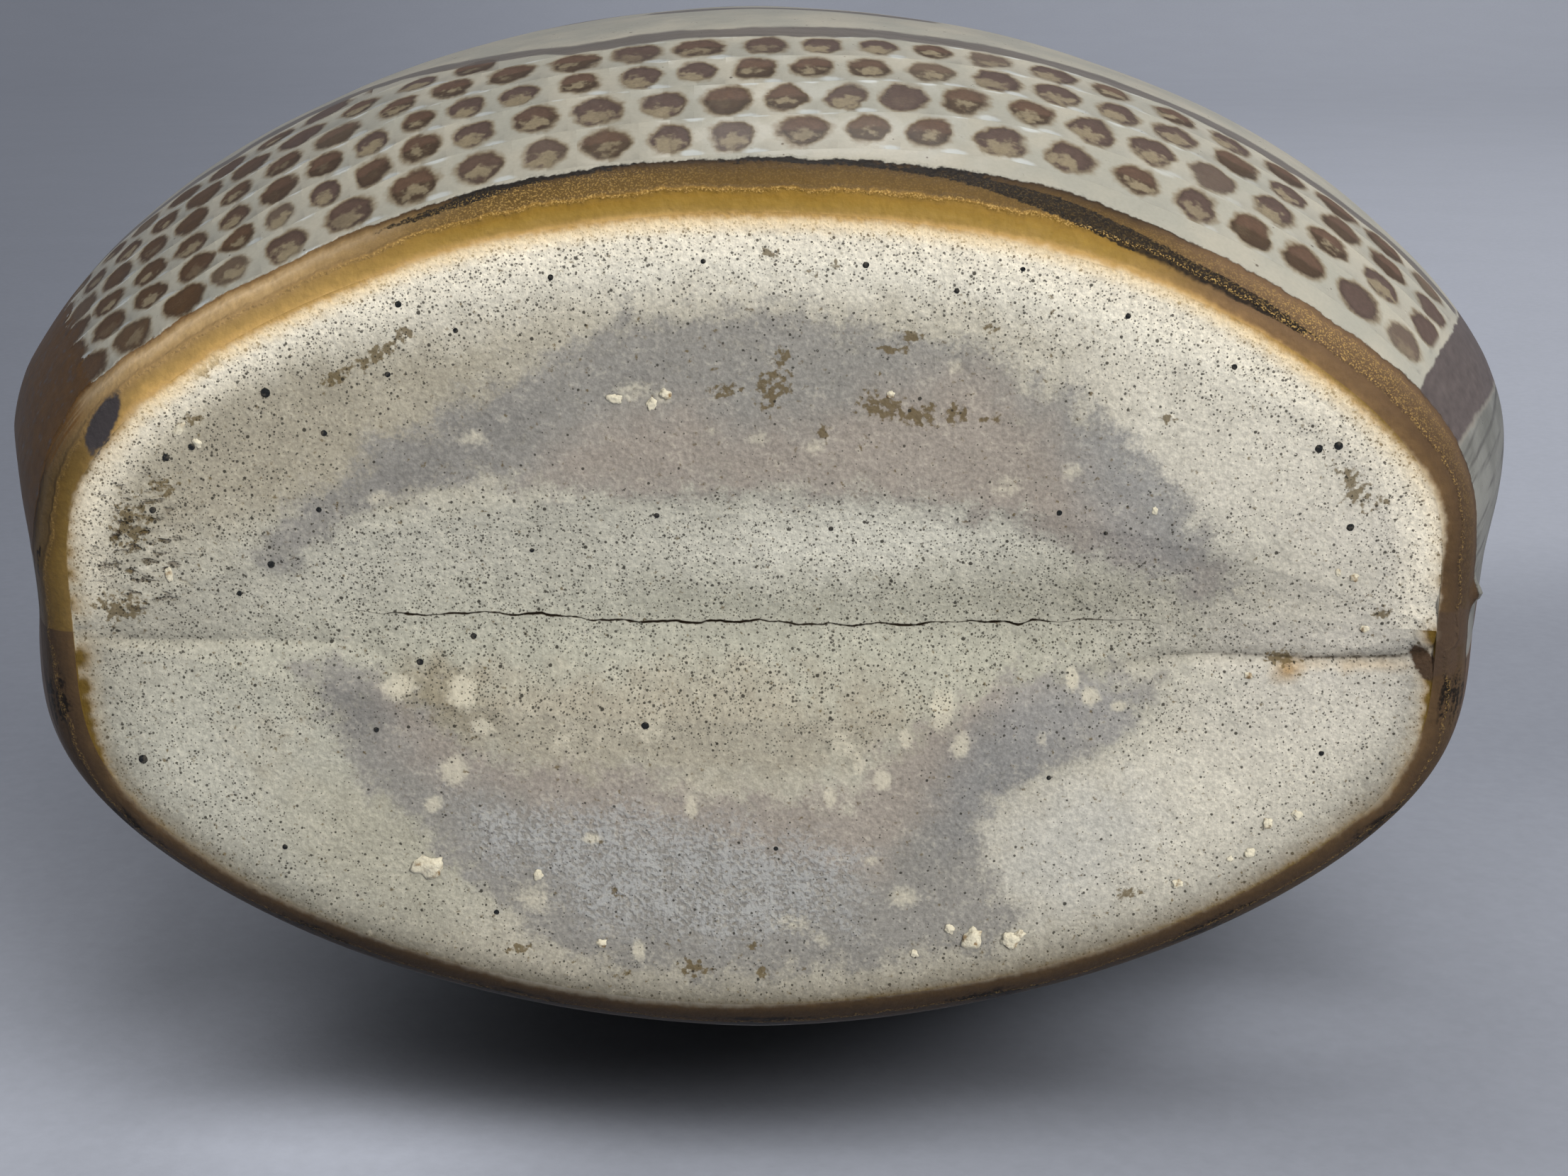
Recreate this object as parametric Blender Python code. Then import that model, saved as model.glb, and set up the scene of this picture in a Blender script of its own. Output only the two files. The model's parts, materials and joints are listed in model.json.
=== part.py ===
"""A hand-built stoneware vase: an oval, flattened belly on a broad lens-shaped base.

The body is made as a potter makes it: two half shells, front and back, each with half of the
floor, are luted together edge to edge.  The joint runs across the base on its long axis and up
both narrow ends.  Coils are pressed over the joint on the inside, and a thrown collar and a rolled
lip close the shoulder.

Units are metres, +Z is up.  The origin is at the middle of the base, on the surface that the vase
stands on; the joint lies in the plane of X and Z, and the front is towards -Y.
"""

import math

import bmesh
import bpy
from mathutils import Vector

MM = 0.001

# Driving dimensions of the body
FOOT_HALF_LENGTH = 79.0 * MM
FOOT_FRONT_DEPTH = 46.0 * MM
FOOT_BACK_DEPTH = 44.8 * MM
BELLY_HEIGHT = 58.0 * MM
SHOULDER_TOP = 146.0 * MM
END_SWELL = 16.4 * MM
FRONT_SWELL = 16.6 * MM
BACK_SWELL = 17.8 * MM
WALL = 6.0 * MM
FLOOR = 8.0 * MM

# Squareness of each half's oval outline up to the belly, and at the neck; 2 is a true ellipse
FRONT_SQUARENESS_SHARE = 1.92
BACK_SQUARENESS_SHARE = 1.86
ROUND_SQUARENESS_SHARE = 2.0

# How early each side of the body swells on its way from the foot to the belly
END_FULLNESS_SHARE = 1.9
FRONT_FULLNESS_SHARE = 3.1
BACK_FULLNESS_SHARE = 1.6

# Edges of the foot
FOOT_ROUND = 2.4 * MM
INNER_FILLET = 9.0 * MM

# The pinched joint between the halves
SEAM_GAP = 0.3 * MM
SEAT_GAP = 0.3 * MM
PINCH_DEPTH = 5.2 * MM
PINCH_REACH = 13.1 * MM

# The lens-shaped hollow under the base
HOLLOW_DEPTH = 1.6 * MM
HOLLOW_HALF_LENGTH = 72.0 * MM
HOLLOW_FRONT_WIDTH = 15.0 * MM
HOLLOW_BACK_WIDTH = 10.0 * MM

# Coils pressed over the joint, inside
COIL_WIDTH = 13.0 * MM
COIL_THICKNESS = 3.6 * MM
COIL_EDGE_THICKNESS = 1.2 * MM
COIL_FOOT_CLEARANCE = 5.0 * MM
SIDE_COIL_TOP = 112.0 * MM

# Collar and lip
NECK_RADIUS = 23.0 * MM
NECK_WALL = 7.5 * MM
BORE_RADIUS = NECK_RADIUS - NECK_WALL
NECK_HEIGHT = 20.0 * MM
NECK_WAIST_DEPTH = 2.6 * MM
RIM_OVERHANG = 2.2 * MM
RIM_HEIGHT = 6.4 * MM
RIM_BORE_SHARE = 0.97

# Facets
AROUND_STEPS = 36
LOWER_STEPS = 8
SHOULDER_STEPS = 9
INNER_LOWER_STEPS = 6
ROUND_STEPS = 4
BASE_STEPS = 9
FLOOR_STEPS = 3
COIL_STEPS = 6
COIL_STATIONS = 16
TURNED_STEPS = 48
SLOPE_STEP_SHARE = 0.001
MERGE_SHARE = 0.0001
SMOOTH_ANGLE = math.radians(35)

FRONT = -1
BACK = 1

# Heights on the body are counted by a rise: 0 at the base, 1 at the belly and 2 at the shoulder's top
BELLY_RISE_SHARE = 1.0
TOP_RISE_SHARE = 2.0


def clear_scene():
    """Remove every object that the file opens with."""
    for item in list(bpy.data.objects):
        bpy.data.objects.remove(item, do_unlink=True)


def make_material(name, colour, roughness):
    """A plain ceramic surface."""
    material = bpy.data.materials.new(name)
    material.use_nodes = True
    shader = material.node_tree.nodes["Principled BSDF"]
    shader.inputs["Base Color"].default_value = (*colour, 1.0)
    shader.inputs["Roughness"].default_value = roughness
    shader.inputs["Metallic"].default_value = 0.0
    material.diffuse_color = (*colour, 1.0)
    return material


def finish_object(name, bm, material):
    """Weld, orient and shade a closed mesh, and link it to the scene as one object."""
    bmesh.ops.remove_doubles(bm, verts=bm.verts, dist=MERGE_SHARE * SEAT_GAP)
    bmesh.ops.dissolve_degenerate(bm, edges=bm.edges, dist=MERGE_SHARE * SEAT_GAP)
    bmesh.ops.recalc_face_normals(bm, faces=bm.faces)
    mesh = bpy.data.meshes.new(name)
    bm.to_mesh(mesh)
    bm.free()
    mesh.materials.append(material)
    mesh.shade_smooth()
    mesh.set_sharp_from_angle(angle=SMOOTH_ANGLE)
    item = bpy.data.objects.new(name, mesh)
    bpy.context.scene.collection.objects.link(item)
    return item


def rise_height(rise):
    """The height that a rise stands for."""
    if rise <= BELLY_RISE_SHARE:
        return BELLY_HEIGHT * rise
    lift = math.sin((rise - BELLY_RISE_SHARE) * math.pi / 2)
    return BELLY_HEIGHT + (SHOULDER_TOP - BELLY_HEIGHT) * lift


def rise_of_height(height):
    """The rise at which the body reaches a height."""
    if height <= BELLY_HEIGHT:
        return height / BELLY_HEIGHT
    lift = (height - BELLY_HEIGHT) / (SHOULDER_TOP - BELLY_HEIGHT)
    return BELLY_RISE_SHARE + math.asin(min(lift, 1.0)) * 2 / math.pi


def half_extent(foot, swell, fullness, rise):
    """Distance from the middle to the wall: a swelling lower part, then a round shoulder."""
    if rise <= BELLY_RISE_SHARE:
        return foot + swell * (1 - (1 - rise) ** fullness)
    belly = foot + swell
    return NECK_RADIUS + (belly - NECK_RADIUS) * math.cos((rise - BELLY_RISE_SHARE) * math.pi / 2)


def half_length(rise):
    """The body's half length at a rise, before the ends are pinched."""
    return half_extent(FOOT_HALF_LENGTH, END_SWELL, END_FULLNESS_SHARE, rise)


def half_depth(side, rise):
    """The depth of the front or back half at a rise, from the joint to the wall."""
    if side == FRONT:
        return half_extent(FOOT_FRONT_DEPTH, FRONT_SWELL, FRONT_FULLNESS_SHARE, rise)
    return half_extent(FOOT_BACK_DEPTH, BACK_SWELL, BACK_FULLNESS_SHARE, rise)


def squareness(side, rise):
    """The outline is a little pointed up to the belly and turns round towards the neck."""
    low = FRONT_SQUARENESS_SHARE if side == FRONT else BACK_SQUARENESS_SHARE
    return low + (ROUND_SQUARENESS_SHARE - low) * max(rise - BELLY_RISE_SHARE, 0.0)


def skin_point(side, around, rise, inset=0.0):
    """A point of the outer skin; around runs from 0 at the right end to pi at the left end.

    The halves are pinched together at both ends, so the skin is drawn in there, less towards the neck.
    """
    length = half_length(rise) - inset
    depth = half_depth(side, rise) - inset - SEAM_GAP / 2
    power = squareness(side, rise)
    cosine = math.cos(around)
    sine = math.sin(around)
    reach = (abs(cosine) ** power + abs(sine) ** power) ** (-1 / power)
    y = side * (SEAM_GAP / 2 + depth * reach * sine)
    pinch = PINCH_DEPTH * (1 - (rise / TOP_RISE_SHARE) ** 2) * math.exp(-(y / PINCH_REACH) ** 2)
    x = length * reach * cosine - math.copysign(pinch, cosine)
    return Vector((x, y, rise_height(rise)))


def outward(side, around, rise):
    """The skin's outward normal."""
    low = max(rise - SLOPE_STEP_SHARE, 0.0)
    high = min(rise + SLOPE_STEP_SHARE, TOP_RISE_SHARE)
    up = skin_point(side, around, high) - skin_point(side, around, low)
    ahead = skin_point(side, around + SLOPE_STEP_SHARE, rise)
    behind = skin_point(side, around - SLOPE_STEP_SHARE, rise)
    along = ahead - behind
    normal = along.cross(up).normalized()
    return normal if normal.dot(Vector((math.cos(around), side * math.sin(around), 0))) >= 0 else -normal


def sunk_point(side, around, rise, depth):
    """A point at a depth below the skin, measured square to it."""
    point = skin_point(side, around, rise)
    sunk = point - outward(side, around, rise) * depth
    if math.sin(around) < SLOPE_STEP_SHARE:
        sunk.y = point.y
    return sunk


def hollow_height(x, y):
    """Height of the underside: zero where the vase stands, rising in a lens along the joint."""
    taper = 1 - (x / HOLLOW_HALF_LENGTH) ** 2
    half_width = (HOLLOW_FRONT_WIDTH if y < 0 else HOLLOW_BACK_WIDTH) * taper
    if abs(y) >= half_width:
        return 0.0
    return HOLLOW_DEPTH * (1 - (y / half_width) ** 2) * taper


def spaced(low, high, steps):
    """Evenly spaced values from low to high, both ends included."""
    return [low + (high - low) * step / steps for step in range(steps + 1)]


def outer_column(side, around):
    """The outer wall from the shoulder's top down to the rounded edge of the foot."""
    foot_rise = rise_of_height(FOOT_ROUND)
    rises = spaced(TOP_RISE_SHARE, BELLY_RISE_SHARE, SHOULDER_STEPS)
    rises += spaced(BELLY_RISE_SHARE, foot_rise, LOWER_STEPS)[1:]
    column = [skin_point(side, around, rise) for rise in rises]
    for turn in spaced(math.pi / 2, 0.0, ROUND_STEPS)[1:]:
        height = FOOT_ROUND * (1 - math.cos(turn))
        inset = FOOT_ROUND * (1 - math.sin(turn))
        column.append(skin_point(side, around, rise_of_height(height), inset))
    return column


def ruled(start, end, steps, height_at):
    """Points on the way from start to end, start left out, each at the height of its place."""
    row = []
    for share in spaced(0.0, 1.0, steps)[1:]:
        point = start.lerp(end, share)
        point.z = height_at(point.x, point.y)
        row.append(point)
    return row


def floor_edge(side, around, wall_foot):
    """Where the flat inner floor meets the fillet under the inner wall."""
    inward = outward(side, around, rise_of_height(FLOOR))
    inward.z = 0
    edge = wall_foot - inward.normalized() * INNER_FILLET
    edge.z = FLOOR
    if math.sin(around) < SLOPE_STEP_SHARE:
        edge.y = wall_foot.y
    return edge


def inner_rises():
    """The rises at which the inner wall has its rings, from the fillet to the shoulder's top."""
    foot_rise = rise_of_height(FLOOR + INNER_FILLET)
    rises = spaced(foot_rise, BELLY_RISE_SHARE, INNER_LOWER_STEPS)
    return rises + spaced(BELLY_RISE_SHARE, TOP_RISE_SHARE, SHOULDER_STEPS)[1:]


def inner_column(side, around, seam_reach):
    """The inner skin from the joint across the floor, up the fillet and wall to the bore."""
    rises = inner_rises()
    wall_foot = sunk_point(side, around, rises[0], WALL)
    edge = floor_edge(side, around, wall_foot)
    seam = Vector((seam_reach * math.cos(around), side * SEAM_GAP / 2, FLOOR))
    column = [seam] + ruled(seam, edge, FLOOR_STEPS, lambda x, y: FLOOR)
    for turn in spaced(0.0, math.pi / 2, ROUND_STEPS)[1:-1]:
        point = edge.lerp(wall_foot, math.sin(turn))
        point.z = edge.z + (wall_foot.z - edge.z) * (1 - math.cos(turn))
        column.append(point)
    column += [sunk_point(side, around, rise, WALL) for rise in rises]
    bore_y = side * (SEAM_GAP / 2 + (BORE_RADIUS - SEAM_GAP / 2) * math.sin(around))
    bore_x = BORE_RADIUS * math.cos(around)
    column.append(Vector((bore_x, bore_y, SHOULDER_TOP - WALL)))
    column.append(Vector((bore_x, bore_y, SHOULDER_TOP)))
    return column


def shell_column(side, around, foot_reach, seam_reach):
    """One closed loop round the wall and floor of a half shell."""
    column = outer_column(side, around)
    seam = Vector((foot_reach * math.cos(around), side * SEAM_GAP / 2, 0))
    column += ruled(column[-1], seam, BASE_STEPS, hollow_height)
    return column + inner_column(side, around, seam_reach)


def loft(bm, loops, close_ends):
    """Skin a row of closed loops that have the same number of points."""
    rings = [[bm.verts.new(point) for point in loop] for loop in loops]
    count = len(rings[0])
    for ring, following in zip(rings, rings[1:]):
        for index in range(count):
            after = (index + 1) % count
            bm.faces.new((ring[index], ring[after], following[after], following[index]))
    if close_ends:
        bm.faces.new(rings[0])
        bm.faces.new(list(reversed(rings[-1])))


def build_shell(name, side, material):
    """A half shell with its half of the floor, from the joint at one end to the joint at the other."""
    foot_reach = skin_point(side, 0.0, 0.0, FOOT_ROUND).x
    wall_foot = sunk_point(side, 0.0, rise_of_height(FLOOR + INNER_FILLET), WALL)
    seam_reach = floor_edge(side, 0.0, wall_foot).x
    turns = spaced(0.0, math.pi, AROUND_STEPS)
    bm = bmesh.new()
    loft(bm, [shell_column(side, around, foot_reach, seam_reach) for around in turns], True)
    return finish_object(name, bm, material)


def coil_thickness(across):
    """A pressed coil is thick in its middle and thin at both edges; across runs from -1 to 1."""
    return COIL_EDGE_THICKNESS + (COIL_THICKNESS - COIL_EDGE_THICKNESS) * math.cos(across * math.pi / 2)


def coil_turn(side, rise, offset):
    """The angle around the body at which its inner wall lies at an offset from the joint."""
    return math.asin(offset / half_depth(side, rise))


def side_coil_loop(end, rise):
    """One section of a coil that covers the joint up a narrow end."""
    seat = []
    face = []
    for across in spaced(-1.0, 1.0, COIL_STEPS):
        side = BACK if across > 0 else FRONT
        turn = coil_turn(side, rise, abs(across) * COIL_WIDTH / 2)
        around = turn if end > 0 else math.pi - turn
        seat_depth = WALL + SEAT_GAP
        seat.append(sunk_point(side, around, rise, seat_depth))
        face.append(sunk_point(side, around, rise, seat_depth + coil_thickness(across)))
    return seat + list(reversed(face))


def build_side_coil(name, end, material):
    """The coil that covers the joint up one narrow end: end is 1 on the right and -1 on the left."""
    low = rise_of_height(FLOOR + INNER_FILLET + COIL_FOOT_CLEARANCE)
    high = rise_of_height(SIDE_COIL_TOP)
    rises = [low] + [rise for rise in inner_rises() if low < rise < high] + [high]
    bm = bmesh.new()
    loft(bm, [side_coil_loop(end, rise) for rise in rises], True)
    return finish_object(name, bm, material)


def base_coil_loop(x, share):
    """One section of the coil on the floor, narrowing to its ends; share runs from -1 to 1."""
    taper = math.sqrt(1 - share ** 2 * (1 - COIL_EDGE_THICKNESS / COIL_THICKNESS))
    low = FLOOR + SEAT_GAP
    seat = []
    face = []
    for across in spaced(-1.0, 1.0, COIL_STEPS):
        y = across * taper * COIL_WIDTH / 2
        seat.append(Vector((x, y, low)))
        face.append(Vector((x, y, low + coil_thickness(across) * taper)))
    return seat + list(reversed(face))


def build_base_coil(name, material):
    """The coil that covers the joint along the floor."""
    wall_foot = sunk_point(FRONT, 0.0, rise_of_height(FLOOR + INNER_FILLET), WALL)
    reach = floor_edge(FRONT, 0.0, wall_foot).x
    bm = bmesh.new()
    loft(bm, [base_coil_loop(share * reach, share) for share in spaced(-1.0, 1.0, COIL_STATIONS)], True)
    return finish_object(name, bm, material)


def build_turned(name, profile, material):
    """Turn a closed profile of radius and height about the vertical axis."""
    bm = bmesh.new()
    corners = [bm.verts.new((radius, 0, height)) for radius, height in profile]
    edges = [bm.edges.new((corners[index - 1], corners[index])) for index in range(len(corners))]
    bmesh.ops.spin(
        bm,
        geom=corners + edges,
        cent=(0, 0, 0),
        axis=(0, 0, 1),
        angle=2 * math.pi,
        steps=TURNED_STEPS,
        use_merge=True,
    )
    return finish_object(name, bm, material)


def neck_profile():
    """The collar: a gently waisted tube that stands on the shoulder's flat seat."""
    low = SHOULDER_TOP + SEAT_GAP
    outer = []
    for share in spaced(0.0, 1.0, SHOULDER_STEPS):
        waist = NECK_WAIST_DEPTH * math.sin(share * math.pi)
        outer.append((NECK_RADIUS - waist, low + NECK_HEIGHT * share))
    return outer + [(BORE_RADIUS, low + NECK_HEIGHT), (BORE_RADIUS, low)]


def rim_profile():
    """The lip: a rolled ring, half round outside, on the collar's flat top."""
    low = SHOULDER_TOP + SEAT_GAP + NECK_HEIGHT + SEAT_GAP
    outer = []
    for turn in spaced(-math.pi / 2, math.pi / 2, LOWER_STEPS):
        radius = NECK_RADIUS + RIM_OVERHANG * math.cos(turn)
        outer.append((radius, low + RIM_HEIGHT * (1 + math.sin(turn)) / 2))
    bore = BORE_RADIUS * RIM_BORE_SHARE
    inner = []
    for turn in spaced(math.pi / 2, 0.0, ROUND_STEPS):
        radius = NECK_RADIUS - (NECK_RADIUS - bore) * math.cos(turn)
        inner.append((radius, low + RIM_HEIGHT * (1 + math.sin(turn)) / 2))
    return outer + inner[1:] + [(BORE_RADIUS, low)]


def main():
    """Build every piece of the vase."""
    clear_scene()
    glaze = make_material("pale_glaze", (0.52, 0.50, 0.45), 0.25)
    clay = make_material("raw_stoneware", (0.50, 0.46, 0.38), 0.85)
    iron = make_material("iron_glaze", (0.20, 0.12, 0.05), 0.3)
    build_shell("front_shell", FRONT, glaze)
    build_shell("back_shell", BACK, glaze)
    build_base_coil("base_seam_coil", clay)
    build_side_coil("right_seam_coil", 1, clay)
    build_side_coil("left_seam_coil", -1, clay)
    build_turned("neck_collar", neck_profile(), glaze)
    build_turned("mouth_rim", rim_profile(), iron)


main()
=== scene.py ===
"""Looks of a hand-built stoneware vase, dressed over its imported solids.

The vase lies on its back on pale paper and shows its raw base.  Object space is the solids' own:
+Z runs from the base to the mouth, the front is towards -Y, and the joint of the two half shells
lies in the plane of X and Z.  Tables of places on the clay are in millimetres.
"""

import json
import logging
import math
from dataclasses import dataclass
from enum import Enum
from typing import Dict, List, Optional, Sequence, Tuple, Union

import bpy
import numpy as np
from mathutils import Matrix, Vector, noise

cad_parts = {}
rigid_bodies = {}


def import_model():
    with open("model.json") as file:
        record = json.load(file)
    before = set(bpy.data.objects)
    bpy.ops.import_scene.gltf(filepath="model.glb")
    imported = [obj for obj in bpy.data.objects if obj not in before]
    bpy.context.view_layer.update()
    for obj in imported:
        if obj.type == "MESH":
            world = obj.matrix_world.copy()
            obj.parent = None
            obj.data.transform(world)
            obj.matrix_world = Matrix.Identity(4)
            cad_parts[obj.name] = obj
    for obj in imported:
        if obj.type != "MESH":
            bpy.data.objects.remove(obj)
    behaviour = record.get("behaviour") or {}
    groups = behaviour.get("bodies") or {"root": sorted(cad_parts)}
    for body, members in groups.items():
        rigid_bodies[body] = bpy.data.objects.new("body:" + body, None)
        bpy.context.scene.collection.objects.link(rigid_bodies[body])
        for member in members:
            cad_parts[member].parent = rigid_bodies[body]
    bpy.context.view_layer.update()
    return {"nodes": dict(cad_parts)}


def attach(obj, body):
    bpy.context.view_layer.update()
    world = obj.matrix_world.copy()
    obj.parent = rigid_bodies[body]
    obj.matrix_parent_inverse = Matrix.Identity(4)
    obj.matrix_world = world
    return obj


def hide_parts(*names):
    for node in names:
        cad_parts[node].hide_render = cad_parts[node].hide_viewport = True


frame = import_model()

MM = 0.001
MM_PER_DEGREE = 1.12
LOG = logging.getLogger("vase")

Colour = Tuple[float, float, float]
Pair = Tuple[float, float]
Outline = Sequence[Pair]
Ramp = Sequence[Tuple[float, Colour]]
Grid = np.ndarray
Piece = bpy.types.Object
Material = bpy.types.Material
Socket = bpy.types.NodeSocket


class Half(Enum):
    """The two shells that are luted together along the base and up the ends."""

    FRONT = -1
    BACK = 1


class Slot(Enum):
    """The record's material slots."""

    GLAZE = "pale_glaze"
    CLAY = "raw_stoneware"
    IRON = "iron_glaze"


def linear(red: int, green: int, blue: int) -> Colour:
    """Turn a colour written in 8-bit display values into linear light."""
    return tuple(
        ((v / 255 + 0.055) / 1.055) ** 2.4 if v > 10 else v / 255 / 12.92 for v in (red, green, blue)
    )


def smooth(low: float, high: float, values: Grid) -> Grid:
    """Ease from 0 at low to 1 at high."""
    share = np.clip((values - low) / (high - low), 0.0, 1.0)
    return share * share * (3 - 2 * share)


def cloud(points: Grid, scale: float, seed: float) -> Grid:
    """Soft noise at points, from about -1 to 1.

    Args:
        points: Places in millimetres, one row each, with two or three columns.
        scale: Size of the noise's features in millimetres.
        seed: Shifts the noise, so that two clouds differ.

    Returns:
        One value for each point.
    """
    flat = points.reshape(-1, points.shape[-1]) / scale
    third = flat[:, 2] if flat.shape[1] > 2 else np.zeros(len(flat))
    values = [noise.noise((x, y, z + seed)) for x, y, z in zip(flat[:, 0], flat[:, 1], third)]
    return np.array(values).reshape(points.shape[:-1])


def follow(line: Outline, places: Grid) -> Grid:
    """The height of a line through given points, at each place."""
    table = np.array(line)
    return np.interp(places, table[:, 0], table[:, 1])


def valley(off: Grid, wide: float, sharp: float) -> Grid:
    """A fold's depth, 1 at its bottom: gentle on its low side and sharp on the other."""
    return np.where(off < 0, np.exp(off / wide), np.exp(-((off / sharp) ** 2)))


def inside_outline(places: Grid, outline: Outline) -> Grid:
    """Signed distance from a closed outline, positive inside.

    Args:
        places: Places on the base, (..., 2).
        outline: The outline's corners in order.

    Returns:
        The distance in the places' own unit.
    """
    corners = np.array(outline, float)
    following = np.roll(corners, -1, axis=0)
    nearest = np.full(places.shape[:-1], np.inf)
    crossed = np.zeros(places.shape[:-1], bool)
    for start, end in zip(corners, following):
        edge = end - start
        share = np.clip(((places - start) @ edge) / max(edge @ edge, 1e-9), 0, 1)
        gap = np.linalg.norm(places - start - share[..., None] * edge, axis=-1)
        nearest = np.minimum(nearest, gap)
        spans = (start[1] > places[..., 1]) != (end[1] > places[..., 1])
        slope = edge[0] / edge[1] if edge[1] else 0.0
        crossed ^= spans & (places[..., 0] < start[0] + (places[..., 1] - start[1]) * slope)
    return np.where(crossed, nearest, -nearest)


@dataclass(frozen=True)
class BodyShape:
    """The vase's outer form in millimetres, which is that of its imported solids."""

    foot_half_length: float = 79.0
    foot_depths: Pair = (46.0, 44.8)
    belly_height: float = 58.0
    shoulder_top: float = 146.0
    end_swell: float = 16.4
    swells: Pair = (16.6, 17.8)
    end_fullness: float = 1.9
    fullness: Pair = (3.1, 1.6)
    squareness: Pair = (1.92, 1.86)
    foot_round: float = 2.4
    pinch_depth: float = 5.2
    pinch_reach: float = 13.1
    neck_radius: float = 23.0
    bore_radius: float = 15.5
    wall: float = 6.0
    floor: float = 8.0
    hollow_depth: float = 1.6
    hollow_half_length: float = 72.0
    hollow_widths: Pair = (15.0, 10.0)

    @staticmethod
    def pick(pair: Pair, half: Half) -> float:
        """The front's or the back's value of a pair."""
        return pair[0] if half is Half.FRONT else pair[1]

    def height(self, rise: Grid) -> Grid:
        """Height of a rise: 0 is the base, 1 the belly and 2 the shoulder's top."""
        lift = np.sin((np.clip(rise, 1, 2) - 1) * np.pi / 2)
        upper = self.belly_height + (self.shoulder_top - self.belly_height) * lift
        return np.where(rise <= 1, self.belly_height * rise, upper)

    def extent(self, foot: float, swell: float, fullness: float, rise: Grid) -> Grid:
        """Distance from the middle to the wall.

        Args:
            foot: The distance at the base.
            swell: How much it grows up to the belly.
            fullness: How early it grows.
            rise: Where on the body.

        Returns:
            The distance at each rise.
        """
        lower = foot + swell * (1 - (1 - np.clip(rise, 0, 1)) ** fullness)
        turn = np.cos((np.clip(rise, 1, 2) - 1) * np.pi / 2)
        upper = self.neck_radius + (foot + swell - self.neck_radius) * turn
        return np.where(rise <= 1, lower, upper)

    def skin(self, half: Half, around: Grid, rise: Grid, inset: Grid) -> Grid:
        """Points of the outer skin.

        Args:
            half: The front or the back shell.
            around: Angle from the right end, 0, to the left end, pi.
            rise: Where on the body's height.
            inset: How far in from the skin, level.

        Returns:
            The points, (..., 3).
        """
        length = self.extent(self.foot_half_length, self.end_swell, self.end_fullness, rise) - inset
        foot = self.pick(self.foot_depths, half)
        depth = self.extent(foot, self.pick(self.swells, half), self.pick(self.fullness, half), rise) - inset
        low = self.pick(self.squareness, half)
        power = low + (2 - low) * np.maximum(rise - 1, 0)
        cosine, sine = np.cos(around), np.sin(around)
        reach = (np.abs(cosine) ** power + np.abs(sine) ** power) ** (-1 / power)
        y = half.value * depth * reach * sine
        pinch = self.pinch_depth * (1 - (rise / 2) ** 2) * np.exp(-((y / self.pinch_reach) ** 2))
        x = length * reach * cosine - np.copysign(pinch, cosine)
        return np.stack([x, y, self.height(rise) + 0 * x], -1)

    def foot_line(self, half: Half, around: Grid) -> Grid:
        """The inner edge of the rounded foot, where the raw clay begins, at height 0."""
        return self.skin(half, around, np.zeros_like(around), self.foot_round)

    def hollow(self, x: Grid, y: Grid) -> Grid:
        """How far the underside lies over the standing plane: a lens along the joint."""
        taper = np.clip(1 - (x / self.hollow_half_length) ** 2, 1e-6, 1)
        width = np.where(y < 0, *self.hollow_widths) * taper
        return self.hollow_depth * np.clip(1 - (y / width) ** 2, 0, 1) * taper


SHAPE = BodyShape()


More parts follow.
